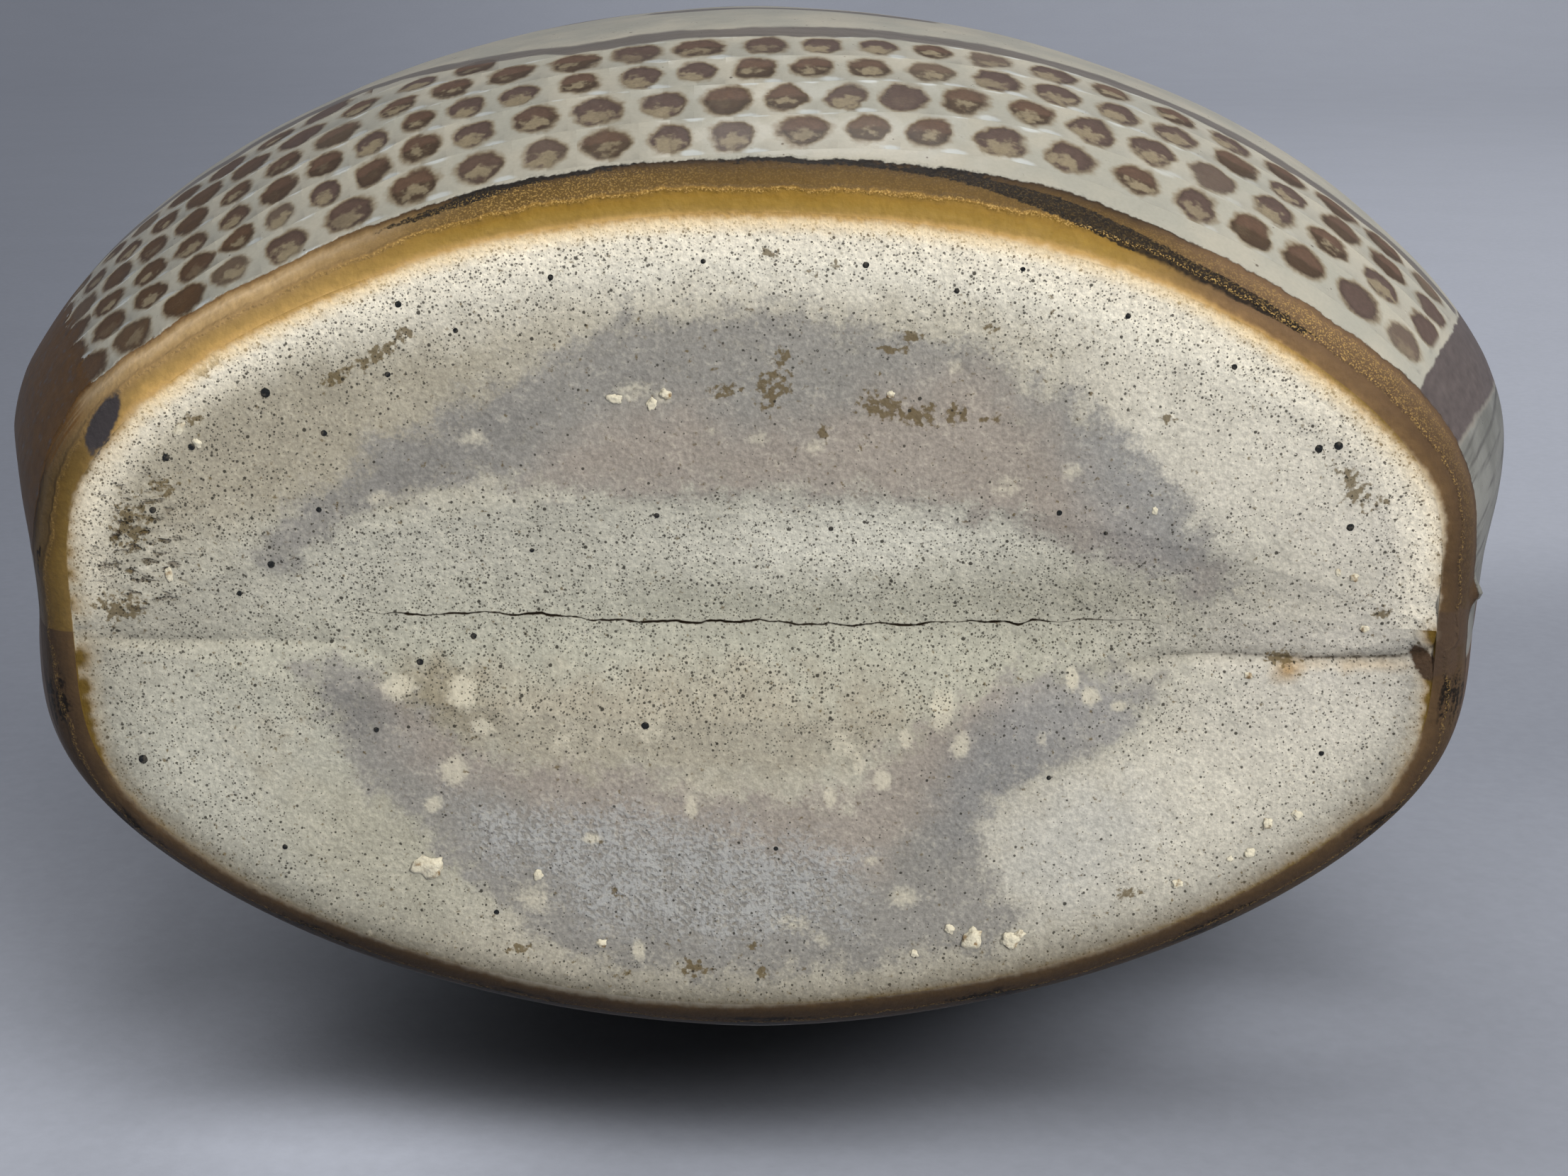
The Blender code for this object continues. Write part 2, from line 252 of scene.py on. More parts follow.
class Bench:
    """Small helpers that model and link meshes."""

    @staticmethod
    def mode(name: str) -> None:
        """Change to edit mode or object mode."""
        bpy.ops.object.mode_set(mode=name)

    @staticmethod
    def clear_selection() -> None:
        """Leave edit mode and select nothing."""
        if bpy.context.object and bpy.context.object.mode != "OBJECT":
            Bench.mode("OBJECT")
        bpy.ops.object.select_all(action="DESELECT")

    @staticmethod
    def choose(piece: Piece) -> None:
        """Select one piece alone and make it the active one."""
        Bench.clear_selection()
        piece.select_set(True)
        bpy.context.view_layer.objects.active = piece

    @staticmethod
    def sheet(name: str, points: Grid) -> Piece:
        """Add a grid and lay its corners on points.

        Args:
            name: The piece's name.
            points: Places in millimetres, (columns, rows, 3).

        Returns:
            The new piece, at the origin.
        """
        columns, rows = points.shape[:2]
        Bench.clear_selection()
        bpy.ops.mesh.primitive_grid_add(x_subdivisions=columns - 1, y_subdivisions=rows - 1, size=1.0)
        piece = bpy.context.object
        piece.name = name
        piece.data.name = name
        ordered = points.transpose(1, 0, 2).reshape(-1, 3) * MM
        piece.data.vertices.foreach_set("co", ordered.ravel())
        piece.data.update()
        return piece

    @staticmethod
    def paint(piece: Piece, layers: Dict[str, Grid], extra: int, rim_rows: int) -> None:
        """Store numbers and colours on the corners of a sheet.

        Args:
            piece: A sheet that still has its grid.
            layers: The values by name: (columns, rows) for numbers, (columns, rows, 4) for colours.
            extra: How many more rows the sheet has.
            rim_rows: How many of these take the first row's values; the others take the last row's.
        """
        for name, values in layers.items():
            fill = np.repeat(values[:, -1:], extra, axis=1)
            fill[:, -rim_rows:] = values[:, :1]
            full = np.concatenate([values, fill], axis=1).swapaxes(0, 1).astype(np.float32).ravel()
            kind, field = ("FLOAT", "value") if values.ndim == 2 else ("FLOAT_COLOR", "color")
            piece.data.attributes.new(name, kind, "POINT").data.foreach_set(field, full)

    @staticmethod
    def close(piece: Piece, caps: bool) -> None:
        """Weld a sheet that has been rolled up, cap its open ends and turn its faces outwards.

        Args:
            piece: The rolled sheet.
            caps: Whether its ends at the joint are open and need a face each.
        """
        Bench.choose(piece)
        Bench.mode("EDIT")
        bpy.ops.mesh.select_all(action="SELECT")
        bpy.ops.mesh.remove_doubles(threshold=0.00001 * MM * 100)
        if caps:
            for end in (-1, 1):
                Bench.mode("OBJECT")
                Bench.select_open_edges(piece, end)
                Bench.mode("EDIT")
                bpy.ops.mesh.edge_face_add()
        bpy.ops.mesh.select_all(action="SELECT")
        bpy.ops.mesh.normals_make_consistent(inside=False)
        Bench.mode("OBJECT")
        bpy.ops.object.shade_smooth_by_angle(angle=math.radians(40))

    @staticmethod
    def select_open_edges(piece: Piece, end: int) -> None:
        """Select the open edges on one side of the middle, in edge mode.

        Args:
            piece: The piece, in object mode.
            end: 1 for the right end and -1 for the left.
        """
        Bench.mode("EDIT")
        bpy.ops.mesh.select_mode(type="EDGE")
        bpy.ops.mesh.select_all(action="DESELECT")
        bpy.ops.mesh.select_non_manifold(extend=False)
        Bench.mode("OBJECT")
        corners = piece.data.vertices
        for edge in piece.data.edges:
            if edge.select and corners[edge.vertices[0]].co.x * end < 0:
                edge.select = False
        for corner in corners:
            if corner.co.x * end < 0:
                corner.select = False

    @staticmethod
    def dress(piece: Piece, slot: Slot, *materials: Material) -> None:
        """Give a piece its finishes and let it ride on the vase.

        Args:
            piece: The finished mesh.
            slot: The record's slot for its finish; not used.
            materials: Its materials in slot order.
        """
        piece.data.materials.clear()
        for material in materials:
            piece.data.materials.append(material)
        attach(piece, "root")
        LOG.info("%s: %d faces", piece.name, len(piece.data.polygons))


class Value:
    """A number, vector or colour in a material, which can be added, multiplied and compared."""

    def __init__(self, kit: "Glassware", socket: Socket) -> None:
        """Hold a node's output."""
        self.kit = kit
        self.socket = socket

    def __add__(self, other: "Term") -> "Value":
        """The sum."""
        return self.kit.math("ADD", self, other)

    def __sub__(self, other: "Term") -> "Value":
        """The difference."""
        return self.kit.math("SUBTRACT", self, other)

    def __rsub__(self, other: float) -> "Value":
        """What is left of a number."""
        return self.kit.math("SUBTRACT", other, self)

    def __mul__(self, other: "Term") -> "Value":
        """The product."""
        return self.kit.math("MULTIPLY", self, other)

    def __truediv__(self, other: "Term") -> "Value":
        """The quotient."""
        return self.kit.math("DIVIDE", self, other)

    def __gt__(self, other: "Term") -> "Value":
        """1 where this is more than the other, or else 0."""
        return self.kit.math("GREATER_THAN", self, other)

    def __lt__(self, other: "Term") -> "Value":
        """1 where this is less than the other, or else 0."""
        return self.kit.math("LESS_THAN", self, other)

    def __abs__(self) -> "Value":
        """The number without its sign."""
        return self.kit.math("ABSOLUTE", self)

    def __getitem__(self, axis: int) -> "Value":
        """One number of a vector or a colour."""
        return self.kit.add("SeparateXYZ", axis, self)

    __radd__ = __add__
    __rmul__ = __mul__

    def floor(self) -> "Value":
        """The whole number under this one."""
        return self.kit.math("FLOOR", self)

    def round(self) -> "Value":
        """The nearest whole number."""
        return self.kit.math("ROUND", self)

    def root(self) -> "Value":
        """The square root."""
        return self.kit.math("SQRT", self)

    def most(self, other: "Term") -> "Value":
        """The larger of two numbers."""
        return self.kit.math("MAXIMUM", self, other)

    def near(self, other: "Term", reach: float) -> "Value":
        """1 where the other is within reach, or else 0."""
        return self.kit.math("COMPARE", self, other, reach)

    def ease(self, low: "Term", high: "Term") -> "Value":
        """Ease from 0 at low to 1 at high; high may lie under low when both are numbers."""
        ends = (low, high, 0.0, 1.0)
        if isinstance(low, float) and isinstance(high, float) and high < low:
            ends = (high, low, 1.0, 0.0)
        return self.kit.add("MapRange", 0, self, *ends, interpolation_type="SMOOTHSTEP")

    def beside(self, result: str) -> "Value":
        """Another result of the same node."""
        return Value(self.kit, self.socket.node.outputs[result])


Term = Union[float, Value]
MIX_NUMBERS = (None,) * 5


class Glassware:
    """Wires one material's nodes."""

    COAT_ROUGHNESS = 0.12

    def __init__(self, name: str, flat: bool = False) -> None:
        """Start an empty material with a shader and an output.

        Args:
            name: The material's name.
            flat: Whether it covers a level surface, so that specks are laid out in the plane.
        """
        self.flat = flat
        self.material = bpy.data.materials.new(name)
        self.material.use_nodes = True
        self.tree = self.material.node_tree
        self.tree.nodes.clear()
        self.output = self.tree.nodes.new("ShaderNodeOutputMaterial")
        self.shader = self.tree.nodes.new("ShaderNodeBsdfPrincipled")
        self.tree.links.new(self.shader.outputs[0], self.output.inputs["Surface"])
        self.place = self.stretch(self.add("TexCoord", "Object"), (1 / MM,) * 3)

    def feed(self, socket: Socket, value: object) -> None:
        """Link a socket, or set its number or colour."""
        value = getattr(value, "socket", value)
        if isinstance(value, Socket):
            self.tree.links.new(value, socket)
        elif isinstance(value, tuple) and socket.type == "RGBA":
            socket.default_value = (*value, 1.0)
        else:
            socket.default_value = value

    def add(self, kind: str, result: object, *values: object, **settings: object) -> Value:
        """Add a node and hand over one of its results.

        Args:
            kind: The node's kind.
            result: Name or number of the result.
            values: Its inputs in order; None leaves one as it is.
            settings: Its other settings.

        Returns:
            The result.
        """
        node = self.tree.nodes.new("ShaderNode" + kind)
        for name, setting in settings.items():
            setattr(node, name, setting)
        for socket, value in zip(node.inputs, values):
            if value is not None:
                self.feed(socket, value)
        return Value(self, node.outputs[result])

    def stretch(self, vector: Value, scale: Colour, shift: Colour = (0, 0, 0)) -> Value:
        """Scale a vector and then move it."""
        return self.add("Mapping", 0, vector, shift, None, scale)

    def stored(self, name: str) -> Value:
        """A number stored on the mesh."""
        return self.add("Attribute", "Fac", attribute_name=name)

    def stored_colour(self, name: str) -> Value:
        """A colour stored on the mesh."""
        return self.add("Attribute", "Color", attribute_name=name)

    def math(self, kind: str, first: Term, second: Term = 0.0, third: Term = 0.0) -> Value:
        """One step of arithmetic."""
        return self.add("Math", 0, first, second, third, operation=kind)

    def clouds(self, scale: float, detail: float = 2.0, vector: Optional[Value] = None) -> Value:
        """Soft noise from 0 to 1, with so many features in each millimetre of the place or vector."""
        return self.add("TexNoise", "Fac", vector or self.place, None, scale, detail)

    def waver(self, scale: float, detail: float, reach: float) -> Value:
        """Soft noise on both sides of 0, with a reach from its lowest to its highest."""
        return (self.clouds(scale, detail) - 0.5) * reach

    def hairs(self, detail: float, across: Value, up: Value) -> Value:
        """Soft noise that is drawn out along a direction of the wall."""
        return self.clouds(1.0, detail, self.join(across, up))

    def chance(self, vector: Value) -> Tuple[Value, Value]:
        """A random number and a random colour for each value of a vector."""
        number = self.add("TexWhiteNoise", "Value", vector, noise_dimensions="3D")
        return number, number.beside("Color")

    def join(self, x: Term, y: Term, z: Term = 0.0) -> Value:
        """A vector from three numbers."""
        return self.add("CombineXYZ", 0, x, y, z)

    def blend(self, share: Term, first: object, second: object) -> Value:
        """Mix two colours: the first shows at a share of 0 and the second at 1."""
        return self.add("Mix", 2, share, *MIX_NUMBERS, first, second, data_type="RGBA")

    def tint(self, colour: object, shade: Value, low: float, high: float) -> Value:
        """Multiply a colour by a shade that runs from low to high."""
        times = self.add("MapRange", 0, shade, None, None, low, high)
        return self.add("Mix", 2, 1.0, *MIX_NUMBERS, colour, times, data_type="RGBA", blend_type="MULTIPLY")

    def steps(self, value: Value, stops: Ramp) -> Value:
        """A colour for each value.

        Args:
            value: The value, 0 to 1.
            stops: Places and linear colours, in order.

        Returns:
            The colour.
        """
        result = self.add("ValToRGB", 0, value)
        ramp = result.socket.node.color_ramp
        while len(ramp.elements) < len(stops):
            ramp.elements.new(1.0)
        for element, (place, colour) in zip(ramp.elements, stops):
            element.position = place
            element.color = (*colour, 1.0)
        return result

    def specks(self, cells: float, radius: float, share: Term, seed: float) -> Value:
        """Small round specks, some in each square millimetre.

        Args:
            cells: Cells in each millimetre, each of which may hold one.
            radius: Radius of the largest speck, in cells.
            share: How many of the cells hold one, 0 to 1.
            seed: Shifts the pattern.

        Returns:
            1 on a speck and 0 beside it.
        """
        vector = self.stretch(self.place, (cells,) * 3, (seed, seed, 0))
        layout = "2D" if self.flat else "3D"
        middle = self.add("TexVoronoi", "Position", vector, None, 1.0, voronoi_dimensions=layout)
        number, colour = self.chance(middle)
        size = colour[1] * (radius * 0.65) + radius * 0.35
        wobble = self.clouds(cells * 3) * (radius * 0.9) - radius * 0.45
        gap = middle.beside("Distance") + wobble - size
        return (number < share) * gap.ease(radius * 0.25, radius * -0.25)

    def relief(self, height: Value, depth: float, under: Optional[Value] = None) -> Value:
        """Raise the surface by a height.

        Args:
            height: The height, 0 to 1.
            depth: What 1 stands for, in millimetres.
            under: A relief that this one lies on.

        Returns:
            The normal.
        """
        normal = self.add("Bump", 0, 1.0, depth * MM)
        inputs = normal.socket.node.inputs
        self.feed(inputs["Height"], height)
        if under is not None:
            self.feed(inputs["Normal"], under)
        return normal

    def finish(self, colour: object, roughness: Term, normal: Value, gloss: float, coat: float) -> Material:
        """Feed the shader and hand over the material.

        Args:
            colour: Base colour.
            roughness: Roughness.
            normal: Normal.
            gloss: Specular level.
            coat: Weight of the clear glassy layer.

        Returns:
            The material.
        """
        looks = {"Base Color": colour, "Roughness": roughness, "Normal": normal}
        looks |= {"Specular IOR Level": gloss, "Coat Weight": coat, "Coat Roughness": self.COAT_ROUGHNESS}
        for name, value in looks.items():
            self.feed(self.shader.inputs[name], value)
        return self.material


@dataclass(frozen=True)
class FootBand:
    """The iron band round the foot, from the raw clay to the pale glaze."""

    glow: Colour = linear(242, 214, 164)
    amber: Colour = linear(196, 158, 98)
    soot: Colour = linear(29, 26, 23)
    gold: Colour = linear(214, 176, 104)
    ember: Colour = linear(150, 108, 54)
    middle: Ramp = (
        (0.0, linear(190, 156, 92)), (0.07, linear(154, 125, 66)), (0.20, linear(145, 116, 52)),
        (0.32, linear(138, 107, 42)), (0.40, linear(122, 94, 40)), (0.43, linear(146, 113, 54)),
        (0.48, linear(106, 82, 42)), (0.70, linear(98, 76, 40)), (0.90, linear(78, 60, 36)),
        (1.0, linear(48, 37, 27)),
    )
    west: Ramp = (
        (0.0, linear(212, 172, 110)), (0.10, linear(188, 152, 90)), (0.20, linear(166, 135, 80)),
        (0.33, linear(158, 129, 80)), (0.45, linear(166, 136, 92)), (0.60, linear(188, 158, 112)),
        (0.74, linear(208, 180, 140)), (0.86, linear(176, 146, 102)), (1.0, linear(116, 84, 48)),
    )
    east: Ramp = (
        (0.0, linear(166, 133, 86)), (0.08, linear(132, 104, 70)), (0.20, linear(116, 91, 62)),
        (0.40, linear(102, 80, 58)), (0.60, linear(108, 86, 62)), (0.80, linear(118, 94, 68)),
        (0.95, linear(112, 88, 64)), (1.0, linear(60, 47, 36)),
    )

    def colour(self, kit: Glassware, share: Value, around: Value, climb: Value) -> Value:
        """Colour the band.

        Args:
            kit: The material at work.
            share: 0 at the clay and 1 at the glaze.
            around: Distance round the vase, in millimetres.
            climb: Distance up from the clay, in millimetres.

        Returns:
            The band's colour.
        """
        streak = kit.hairs(4.0, around * 0.1, climb * 1.2)
        bent = share + streak * 0.16 - 0.08
        base = kit.blend(kit.stored("west"), kit.steps(bent, self.middle), kit.steps(bent, self.west))
        base = kit.blend(kit.stored("east"), base, kit.steps(bent, self.east))
        mottled = kit.tint(base, kit.clouds(1.1, 4.0), 0.78, 1.22)
        hairs = kit.hairs(3.0, around * 2.2, climb * 0.5)
        mottled = kit.tint(mottled, hairs * share.ease(0.3, 0.5), 1.06, 0.8)
        granular = kit.clouds(2.4, 4.0) * 0.5 + kit.clouds(0.8, 3.0) * 0.4
        burnt = kit.stored("soot") - (streak * 0.5 + granular)
        dark = burnt.ease(-0.06, 0.06) * share.ease(0.24, 0.34)
        stipple = kit.clouds(2.6, 3.0) * 0.5 + 0.66
        sooted = kit.blend(dark * stipple, mottled, self.soot)
        sooted = kit.blend(kit.stored("ember") * streak.ease(0.3, 0.6), sooted, self.ember)
        grains = kit.clouds(5.0, 2.0).ease(0.5, 0.64)
        line = share.ease(0.36, 0.41) * share.ease(0.49, 0.43)
        line = line * (kit.stored("west") * -0.6 + 0.8)
        gilt = line.most(kit.stored("gilt") * share.ease(0.36, 0.42))
        gilt = gilt * share.ease(0.92, 0.8)
        shown = kit.blend(grains * (gilt * 0.75), sooted, self.gold)
        # A weak glow darkens the band as well: painted shade at the back, which lies against the paper.
        return kit.tint(shown, kit.stored("glow"), 0.16, 1.0)

    def fringe(self, kit: Glassware, gap: Value, clay: Value, band: Value) -> Value:
        """Let the clay glow and turn into the band.

        Args:
            kit: The material at work.
            gap: Distance outside the clay's edge in millimetres.
            clay: The clay's colour.
            band: The band's colour.

        Returns:
            The colour on both sides of the edge.
        """
        ragged = kit.waver(0.9, 3.0, 0.9)
        near = gap + ragged
        glow = kit.stored("glow")
        bright = kit.tint(self.glow, glow, 0.3, 1.0)
        warm = kit.blend(near.ease(-2.4, -0.2) * (glow * 0.75), clay, bright)
        tawny = near.ease(-0.7, 0.3) * (glow * 0.9 + 0.1)
        amber = kit.tint(self.amber, glow, 0.2, 1.0)
        return kit.blend(near.ease(-0.1, 0.8), kit.blend(tawny, warm, amber), band)


@dataclass(frozen=True)
class RawClay:
    """The unglazed, wiped and flashed clay under the vase."""

    cream: Colour = linear(228, 222, 204)
    crust: Colour = linear(182, 183, 181)
    blotch: Colour = linear(208, 201, 180)
    scuff: Colour = linear(98, 82, 48)
    speck: Colour = linear(47, 44, 38)
    stain: Colour = linear(74, 59, 46)
    slate: Colour = linear(63, 59, 60)
    # Dark colour of the open crack, and of the pressed line along the right crease, which is painted shade.
    crack_and_crease_shade: Colour = linear(58, 49, 38)

    def flashed(self, kit: Glassware, grain: Value, patches: Value) -> Value:
        """Lay the flashed tones over the clay with a granular edge.

        Args:
            kit: The material at work.
            grain: Fine noise.
            patches: Coarse noise.

        Returns:
            The clay's colour.
        """
        fray = kit.clouds(3.0, 4.0) - 0.5 + patches * 1.6 - 0.8
        share = (fray * 0.9 + kit.stored("flash")).ease(0.12, 0.88)
        ground = kit.blend(share, kit.stored_colour("wash"), kit.stored_colour("burn"))
        ground = kit.tint(ground, grain, 0.58, 1.42)
        ground = kit.tint(ground, kit.clouds(5.0, 2.0), 0.8, 1.2)
        ground = kit.tint(ground, kit.clouds(0.14, 3.0), 0.88, 1.12)
        return kit.tint(ground, patches, 0.84, 1.16)

    def marked(self, kit: Glassware, ground: Value, grain: Value, patches: Value) -> Tuple[Value, Value]:
        """Add crust, pale spots, scuffs and torn clay.

        Args:
            kit: The material at work.
            ground: The clay's colour.
            grain: Fine noise.
            patches: Coarse noise.

        Returns:
            The colour, and how rough the torn and crusted places are.
        """
        crusted = kit.stored("crust")
        crumbs = kit.clouds(2.0, 4.0) * 0.62 + kit.clouds(0.5, 5.0) * 0.38
        crumbs = (crusted * 0.08 + crumbs).ease(0.47, 0.66)
        ground = kit.blend(crumbs * crusted * 0.62, ground, self.crust)
        ragged = (grain + patches) * 0.8 - 0.8
        spot = (kit.stored("blotch") + ragged * 1.3).ease(0.05, 0.85)
        ground = kit.blend(spot * 0.72, ground, kit.tint(self.blotch, grain, 0.85, 1.15))
        dabs = kit.waver(1.5, 4.0, 3.6)
        dabs = (kit.stored("scuff") + dabs).ease(0.45, 0.95)
        ground = kit.blend(dabs * 0.8, ground, self.scuff)
        scratch = kit.hairs(6.0, kit.place[0] * 0.45, kit.place[1] * 1.05) * 0.7 + kit.clouds(1.3, 5.0) * 0.3
        area = kit.stored("torn")
        torn = area * (area * 0.06 + scratch).ease(0.58, 0.68)
        chips = area * scratch.ease(0.42, 0.36)
        ground = kit.blend(chips * 0.6, ground, kit.tint(self.cream, grain, 0.7, 1.1))
        ground = kit.blend(torn * 0.85, ground, kit.blend(grain.ease(0.4, 0.6), self.scuff, self.stain))
        return ground, crumbs * crusted * 0.4 + torn * -1.8

    def peppered(self, kit: Glassware, ground: Value) -> Value:
        """Strew iron specks over the clay."""
        clumps = kit.clouds(0.45, 3.0).ease(0.4, 0.62) * 0.9 + 0.55
        dust = kit.stored("dust") * clumps
        fine = kit.specks(2.9, 0.3, dust * 0.55, 3.0)
        middle = kit.specks(1.7, 0.27, dust * 0.34, 7.0)
        coarse = kit.specks(1.0, 0.21, dust * 0.08, 11.0)
        iron = (fine * 0.75).most(middle * 0.85).most(coarse * 0.9)
        return kit.blend(iron, ground, self.speck)

    def material(self) -> Material:
        """Wire the clay.

        Returns:
            The material of the base.
        """
        kit = Glassware("raw_clay", flat=True)
        grain = kit.clouds(1.9, 4.0)
        patches = kit.clouds(0.42, 4.0)
        ground, relief = self.marked(kit, self.flashed(kit, grain, patches), grain, patches)
        ground = self.peppered(kit, ground)
        gap = kit.stored("gap")
        foot = FootBand()
        band = kit.tint(kit.steps(gap * 0.155, foot.middle), grain, 0.8, 1.2)
        # The band darkens where the glow is weak: painted shade at the back.
        band = kit.tint(band, kit.stored("glow"), 0.16, 1.0)
        shown = foot.fringe(kit, gap, ground, band)
        ragged = (grain + patches) * 0.8 - 0.8
        shown = kit.blend((kit.stored("slate") + ragged).ease(0.0, 0.25), shown, self.slate)
        spill = kit.tint(self.stain, grain, 0.6, 1.4)
        shown = kit.blend((kit.stored("stain") + ragged).ease(0.2, 0.6), shown, spill)
        # Darkens the open crack, and paints shade along the right crease's pressed line.
        split = kit.stored("crack_and_crease_shade") * (kit.clouds(1.1, 4.0) * 2.4 - 0.3)
        shown = kit.blend(split.ease(0.25, 0.75), shown, self.crack_and_crease_shade)
        rough = grain * 0.2 + 0.72
        bumps = grain * 0.8 + kit.clouds(0.7, 3.0) * 0.9 + relief
        return kit.finish(shown, rough, kit.relief(bumps, 0.2), 0.25, 0.0)


@dataclass(frozen=True)
class DottedGlaze:
    """Pale glaze with rows of iron dots and painted highlights, an iron foot band, corner stripes and
    streaked ends, whose greys are darkened as painted shade.
    """

    pale: Colour = linear(177, 172, 157)
    cool: Colour = linear(164, 162, 150)
    dark: Colour = linear(68, 52, 38)
    iron: Colour = linear(92, 70, 56)
    plum: Colour = linear(84, 68, 62)
    olive: Colour = linear(146, 134, 108)
    halo: Colour = linear(118, 100, 70)
    stripe: Colour = linear(86, 78, 76)
    rust: Colour = linear(82, 57, 24)
    brown: Colour = linear(74, 51, 26)
    # Greys of the streaked ends, darker than the pale glaze: partly the glaze's streaks, partly painted
    # shade.
    ends: Colour = linear(106, 106, 100)
    smoke: Colour = linear(132, 132, 126)
    streak: Colour = linear(74, 72, 68)
    line: Colour = linear(98, 91, 86)
    painted_highlight: Colour = linear(206, 211, 210)
    dot_pitch: float = 6.6
    row_pitch: float = 6.2
    dot_wide: float = 2.35
    dot_high: float = 2.45
    glint_shift: float = 0.35

    def cell(self, kit: Glassware, level: Value) -> Value:
        """How many dots lie before a place in its own row."""
        found = kit.stored("cell_1") * level.near(1.0, 0.1)
        for index in (2, 3, 4):
            found += kit.stored(f"cell_{index}") * level.near(float(index), 0.1)
        for level_above, shift in ((5.0, 0.35), (6.0, 0.8)):
            found += (kit.stored("cell_4") + shift) * level.near(level_above, 0.1)
        return found

    def dots(self, kit: Glassware, ground: Value) -> Tuple[Value, Value, Value]:
        """Lay the dots over the glaze.

        Args:
            kit: The material at work.
            ground: The glaze's colour.

        Returns:
            The colour with dots and painted highlights, how far a place is inside a dot, and the glaze's
            swell between dots.
        """
        row = kit.stored("row")
        level = row.round()
        cell = self.cell(kit, level)
        count = cell.floor()
        value, colour = kit.chance(kit.join(count, level, kit.stored("side")))
        red, green, blue = (colour[axis] for axis in range(3))
        off = cell - count - 0.5
        rise = row - level
        across = off * self.dot_pitch + red * 0.6 - 0.3
        up = rise * self.row_pitch + green * 0.5 - 0.25
        size = blue * 0.2 + kit.stored("rusty") * 0.1 + 0.89
        reach = self.length(kit, across, up, self.dot_high / self.dot_wide) / size
        wobble = kit.waver(0.45, 2.0, 2.0) + kit.waver(2.0, 2.0, 0.4)
        gap = reach + wobble - self.dot_high
        rows = (row > 0.5) * (level < kit.stored("last_row"))
        ruled = rows * kit.stored("panel").ease(0.3, 1.2)
        core = gap.ease(0.22, -0.38) * ruled
        fringe = gap.ease(0.75, -0.15) * ruled
        solid = kit.stored("solid")
        strength = (value.ease(0.04, 0.22) * 0.18 + 0.76).most(solid * 0.9)
        window = self.window(kit, across, up, red, green)
        opened = window * (blue + solid * 0.7).ease(1.05, 0.65)
        fill = kit.blend((up + kit.clouds(0.6, 3.0)).ease(0.2, 1.0), self.dark, self.iron)
        fill = kit.blend(green.ease(0.5, 0.75), fill, self.plum)
        fill = kit.blend(kit.stored("rusty") * 0.9, fill, self.brown)
        fill = kit.blend(gap.ease(-0.9, -0.3), fill, kit.tint(fill, kit.clouds(1.6, 2.0), 0.6, 1.0))
        fill = kit.blend(opened * 0.8, fill, self.olive)
        fill = kit.tint(kit.tint(fill, kit.clouds(1.2, 4.0), 0.72, 1.28), kit.clouds(3.2, 4.0), 0.74, 1.26)
        shown = kit.blend(fringe * (strength * 0.85), ground, self.halo)
        shown = kit.blend(core * strength, shown, fill)
        edge = abs(rise) * 2.0
        swell = abs(off) * 2.0 * edge * (edge * ruled)
        # Painted highlights are laid over the dotted colour here.
        return self.glints(kit, shown, cell, row, ruled), core, swell

    def glints(self, kit: Glassware, shown: Value, cell: Value, row: Value, ruled: Value) -> Value:
        """Paint thin bright highlights between the rows, where the ridges of thick glaze would catch a lamp.

        Args:
            kit: The material at work.
            shown: The colour so far.
            cell: The count along the row.
            row: The count of rows.
            ruled: Where rows run.

        Returns:
            The colour with its painted highlights.
        """
        above = row.floor()
        beside = (cell + self.glint_shift).floor()
        value, colour = kit.chance(kit.join(beside, above, 7.0))
        across = cell + self.glint_shift - beside - 0.5
        up = row - above - (value * 0.12 + 0.44)
        slant = across * -0.1 + up
        reach = self.length(kit, across * self.dot_pitch, slant * 20.0, 1.5)
        ragged = kit.waver(0.8, 3.0, 2.0)
        dash = (reach + ragged).ease(2.3, 0.9)
        held = (colour[0] > 0.4) * ruled
        # Painted highlight: bright dashes on the glaze between the rows, where light would glint.
        share = dash * held * kit.stored("painted_highlight")
        return kit.blend(share * 0.7, shown, self.painted_highlight)

    @staticmethod
    def length(kit: Glassware, across: Value, up: Value, squash: float) -> Value:
        """Length of an offset after its level part is squashed."""
        flat = across * squash
        return (flat * flat + up * up).root()

    def window(self, kit: Glassware, across: Value, up: Value, first: Value, second: Value) -> Value:
        """The paler spot low in a dot, where its iron is thin.

        Args:
            kit: The material at work.
            across: Level offset from the dot's middle.
            up: Upward offset.
            first: A random number of the dot.
            second: Another one.

        Returns:
            1 in the spot and 0 outside.
        """
        left = across - (first * 1.2 - 0.3)
        low = up + second * 0.7 + 0.45
        reach = self.length(kit, left, low, 0.74)
        bend = kit.waver(1.0, 4.0, 3.6)
        limit = second * 0.8 + 0.45
        return (reach + bend - limit).ease(0.45, -0.45)

    def upper(self, kit: Glassware, shown: Value, around: Value, climb: Value) -> Value:
        """Paint the line over the dots and the broad strokes on the belly.

        Args:
            kit: The material at work.
            shown: The colour so far.
            around: Distance round the vase.
            climb: Distance up from the clay.

        Returns:
            The colour with its strokes.
        """
        row = kit.stored("row")
        wavy = row + kit.waver(0.16, 3.0, 0.5) + 4.5 - kit.stored("last_row")
        band = wavy.ease(4.48, 4.58) * wavy.ease(5.22, 5.02) * kit.stored("panel").ease(-0.3, 0.5)
        hairs = kit.hairs(3.0, around * 0.06, climb * 1.3)
        ink = kit.tint(self.line, hairs, 0.45, 1.5)
        shown = kit.blend(band * 0.9, shown, ink)
        stroke = hairs * 0.9 + kit.stored("brush") - 0.45
        return kit.blend(stroke.ease(0.35, 0.6) * 0.9, shown, ink)

